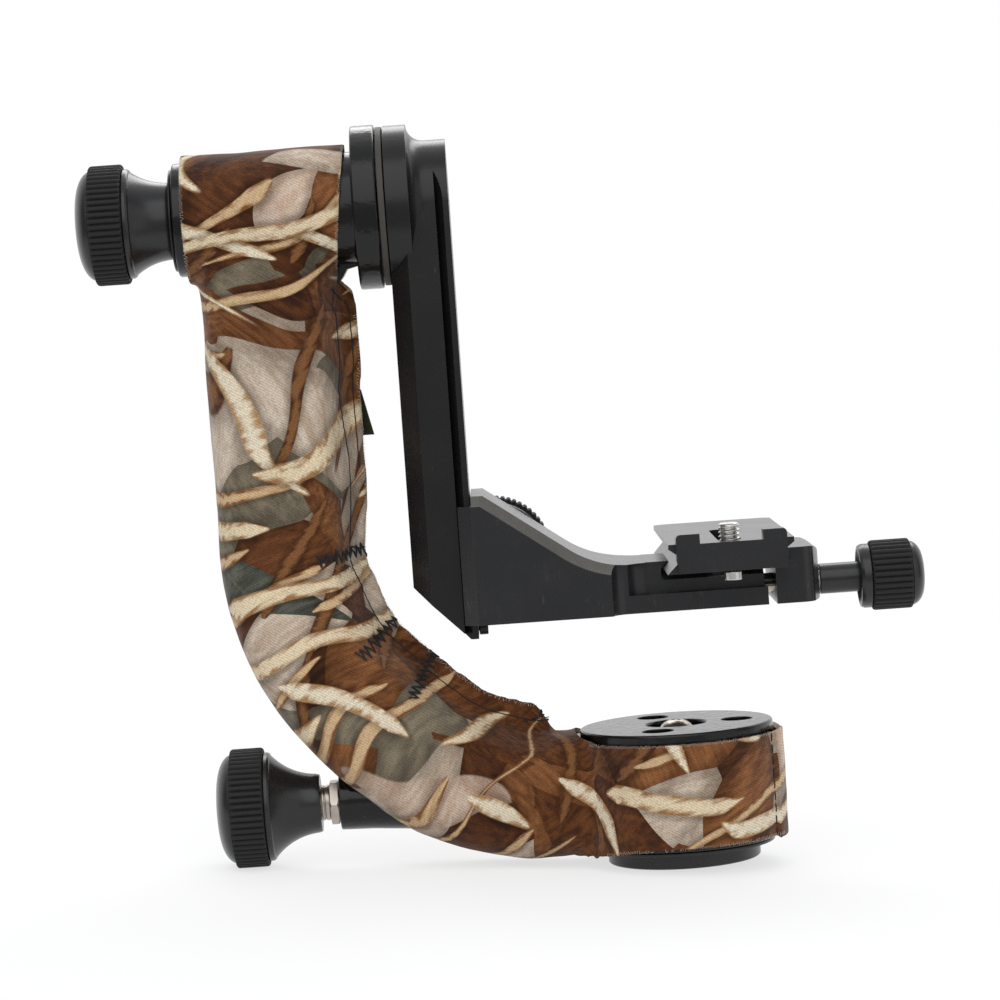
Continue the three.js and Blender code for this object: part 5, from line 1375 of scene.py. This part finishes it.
def finish_rest():
    looks = {"anodised": ANODISED, "wrinkle_paint": WRINKLE, "grip_rubber": RUBBER, "steel": STEEL,
        "black_steel": BLACK_STEEL, "washer_plastic": WASHER, "polished_steel": POLISHED}
    slots = {row["node"]: row["material_slot"] for row in frame["record"]["subparts"]}
    for node, piece in frame["nodes"].items():
        if slots[node] in looks:
            piece.data.materials.clear()
            piece.data.materials.append(looks[slots[node]])


# Floor, light and camera


def seen_white(tone, mirrored):
    """1 for rays from the camera, straight or through clear pieces, and a share for what pieces mirror."""
    straight, through, off = [tone.node("ShaderNodeLightPath", output=f"Is {kind} Ray")
        for kind in ("Camera", "Transmission", "Glossy")]
    return tone.maths("MAXIMUM", tone.maths("MAXIMUM", straight, through), off * mirrored)


def lamp(name, spot, aim, size, power):
    light = bpy.data.lights.new(name, "AREA")
    light.shape, light.size, light.size_y, light.energy = "RECTANGLE", *size, power
    made = linked(name, light)
    made.location = Vector(spot)
    made.rotation_euler = (Vector(spot) - Vector(aim)).to_track_quat("Z", "Y").to_euler()


def build_stage():
    turn = Matrix.Rotation(atan2(KNOB_DROP, KNOB_REACH), 3, "Y")
    corners = [Vector((-FOOT_EDGE, 0, 0)) + turn @ Vector((x, y, 0)) for x, y in (
        (-700, -300), (700, -300), (700, 700), (-700, 700))]
    floor = make("floor", corners, [(0, 1, 2, 3)])
    paper = material("pale_floor",
        {"Base Color": (0.9, 0.9, 0.9), "Roughness": 0.8, "Specular IOR Level": 0.1})
    place = Tone(paper.node_tree, paper.node_tree.nodes["Principled BSDF"].outputs[0])
    bright = place.node("ShaderNodeEmission", {}, {"Color": (1, 1, 1, 1), "Strength": 1.0})
    shown = place.node("ShaderNodeMixShader", {}, {0: seen_white(place, 1.0) * 0.68, 1: place, 2: bright})
    paper.node_tree.links.new(shown.socket, paper.node_tree.nodes["Material Output"].inputs["Surface"])
    floor.data.materials.append(paper)

    world = bpy.data.worlds.new("studio")
    bpy.context.scene.world = world
    world.use_nodes = True
    tree = world.node_tree
    sky = Tone(tree, tree.nodes["Background"].outputs[0])
    aim = sky.node("ShaderNodeTexCoord", output="Generated")
    side, back, high = aim.parts()
    level = 0.5 + back.above(-0.1, 0.7) * 0.5 + high.above(0.2, 0.9) * 0.3
    level = level * (1 - side.off(0).above(0.35, 0.95) * 0.5)
    soft = sky.node("ShaderNodeBackground", {}, {"Color": (0.96, 0.98, 1, 1), "Strength": level})
    white = sky.node("ShaderNodeBackground", {}, {"Color": (1, 1, 1, 1), "Strength": 1.0})
    plain = seen_white(sky, back.above(0.0, 0.45))
    whole = sky.node("ShaderNodeMixShader", {}, {0: plain, 1: soft, 2: white})
    tree.links.new(whole.socket, tree.nodes["World Output"].inputs["Surface"])

    lamp("key", (-0.2, -0.85, 0.8), (-0.05, 0, 0.1), (1.5, 1.2), 6.5)
    lamp("fill", (0.8, -0.6, 0.35), (-0.03, 0, 0.1), (0.9, 1.0), 1.6)
    lamp("rim", (0.1, 0.7, 0.8), (-0.05, 0, 0.1), (0.9, 0.4), 4)

    pitch, roll = radians(CAMERA_DOWN), radians(CAMERA_LEAN)
    forward = Vector((0, cos(pitch), -sin(pitch)))
    level = Vector((1, 0, 0))
    above = level.cross(forward)
    right = level * cos(roll) - above * sin(roll)
    up = level * sin(roll) + above * cos(roll)
    lens = bpy.data.cameras.new("camera")
    lens.sensor_width, lens.lens, lens.clip_start, lens.clip_end = 36, FOCAL * 36 / 1000, 0.01, 20
    camera = linked("camera", lens)
    place = Matrix((right, up, -forward)).transposed().to_4x4()
    place.translation = Vector(CAMERA_AT) * MM
    camera.matrix_world = place
    bpy.context.scene.camera = camera
    bpy.context.scene.view_settings.view_transform = "Standard"


build_stage()
build_foot()
build_casting()
build_knobs()
build_swing_arm()
build_platform()
build_clamp_jaw()
build_plate()
sleeve = build_sleeve()
stitching, fibres = build_stitching(sleeve)
tag = build_tag()
finish_rest()
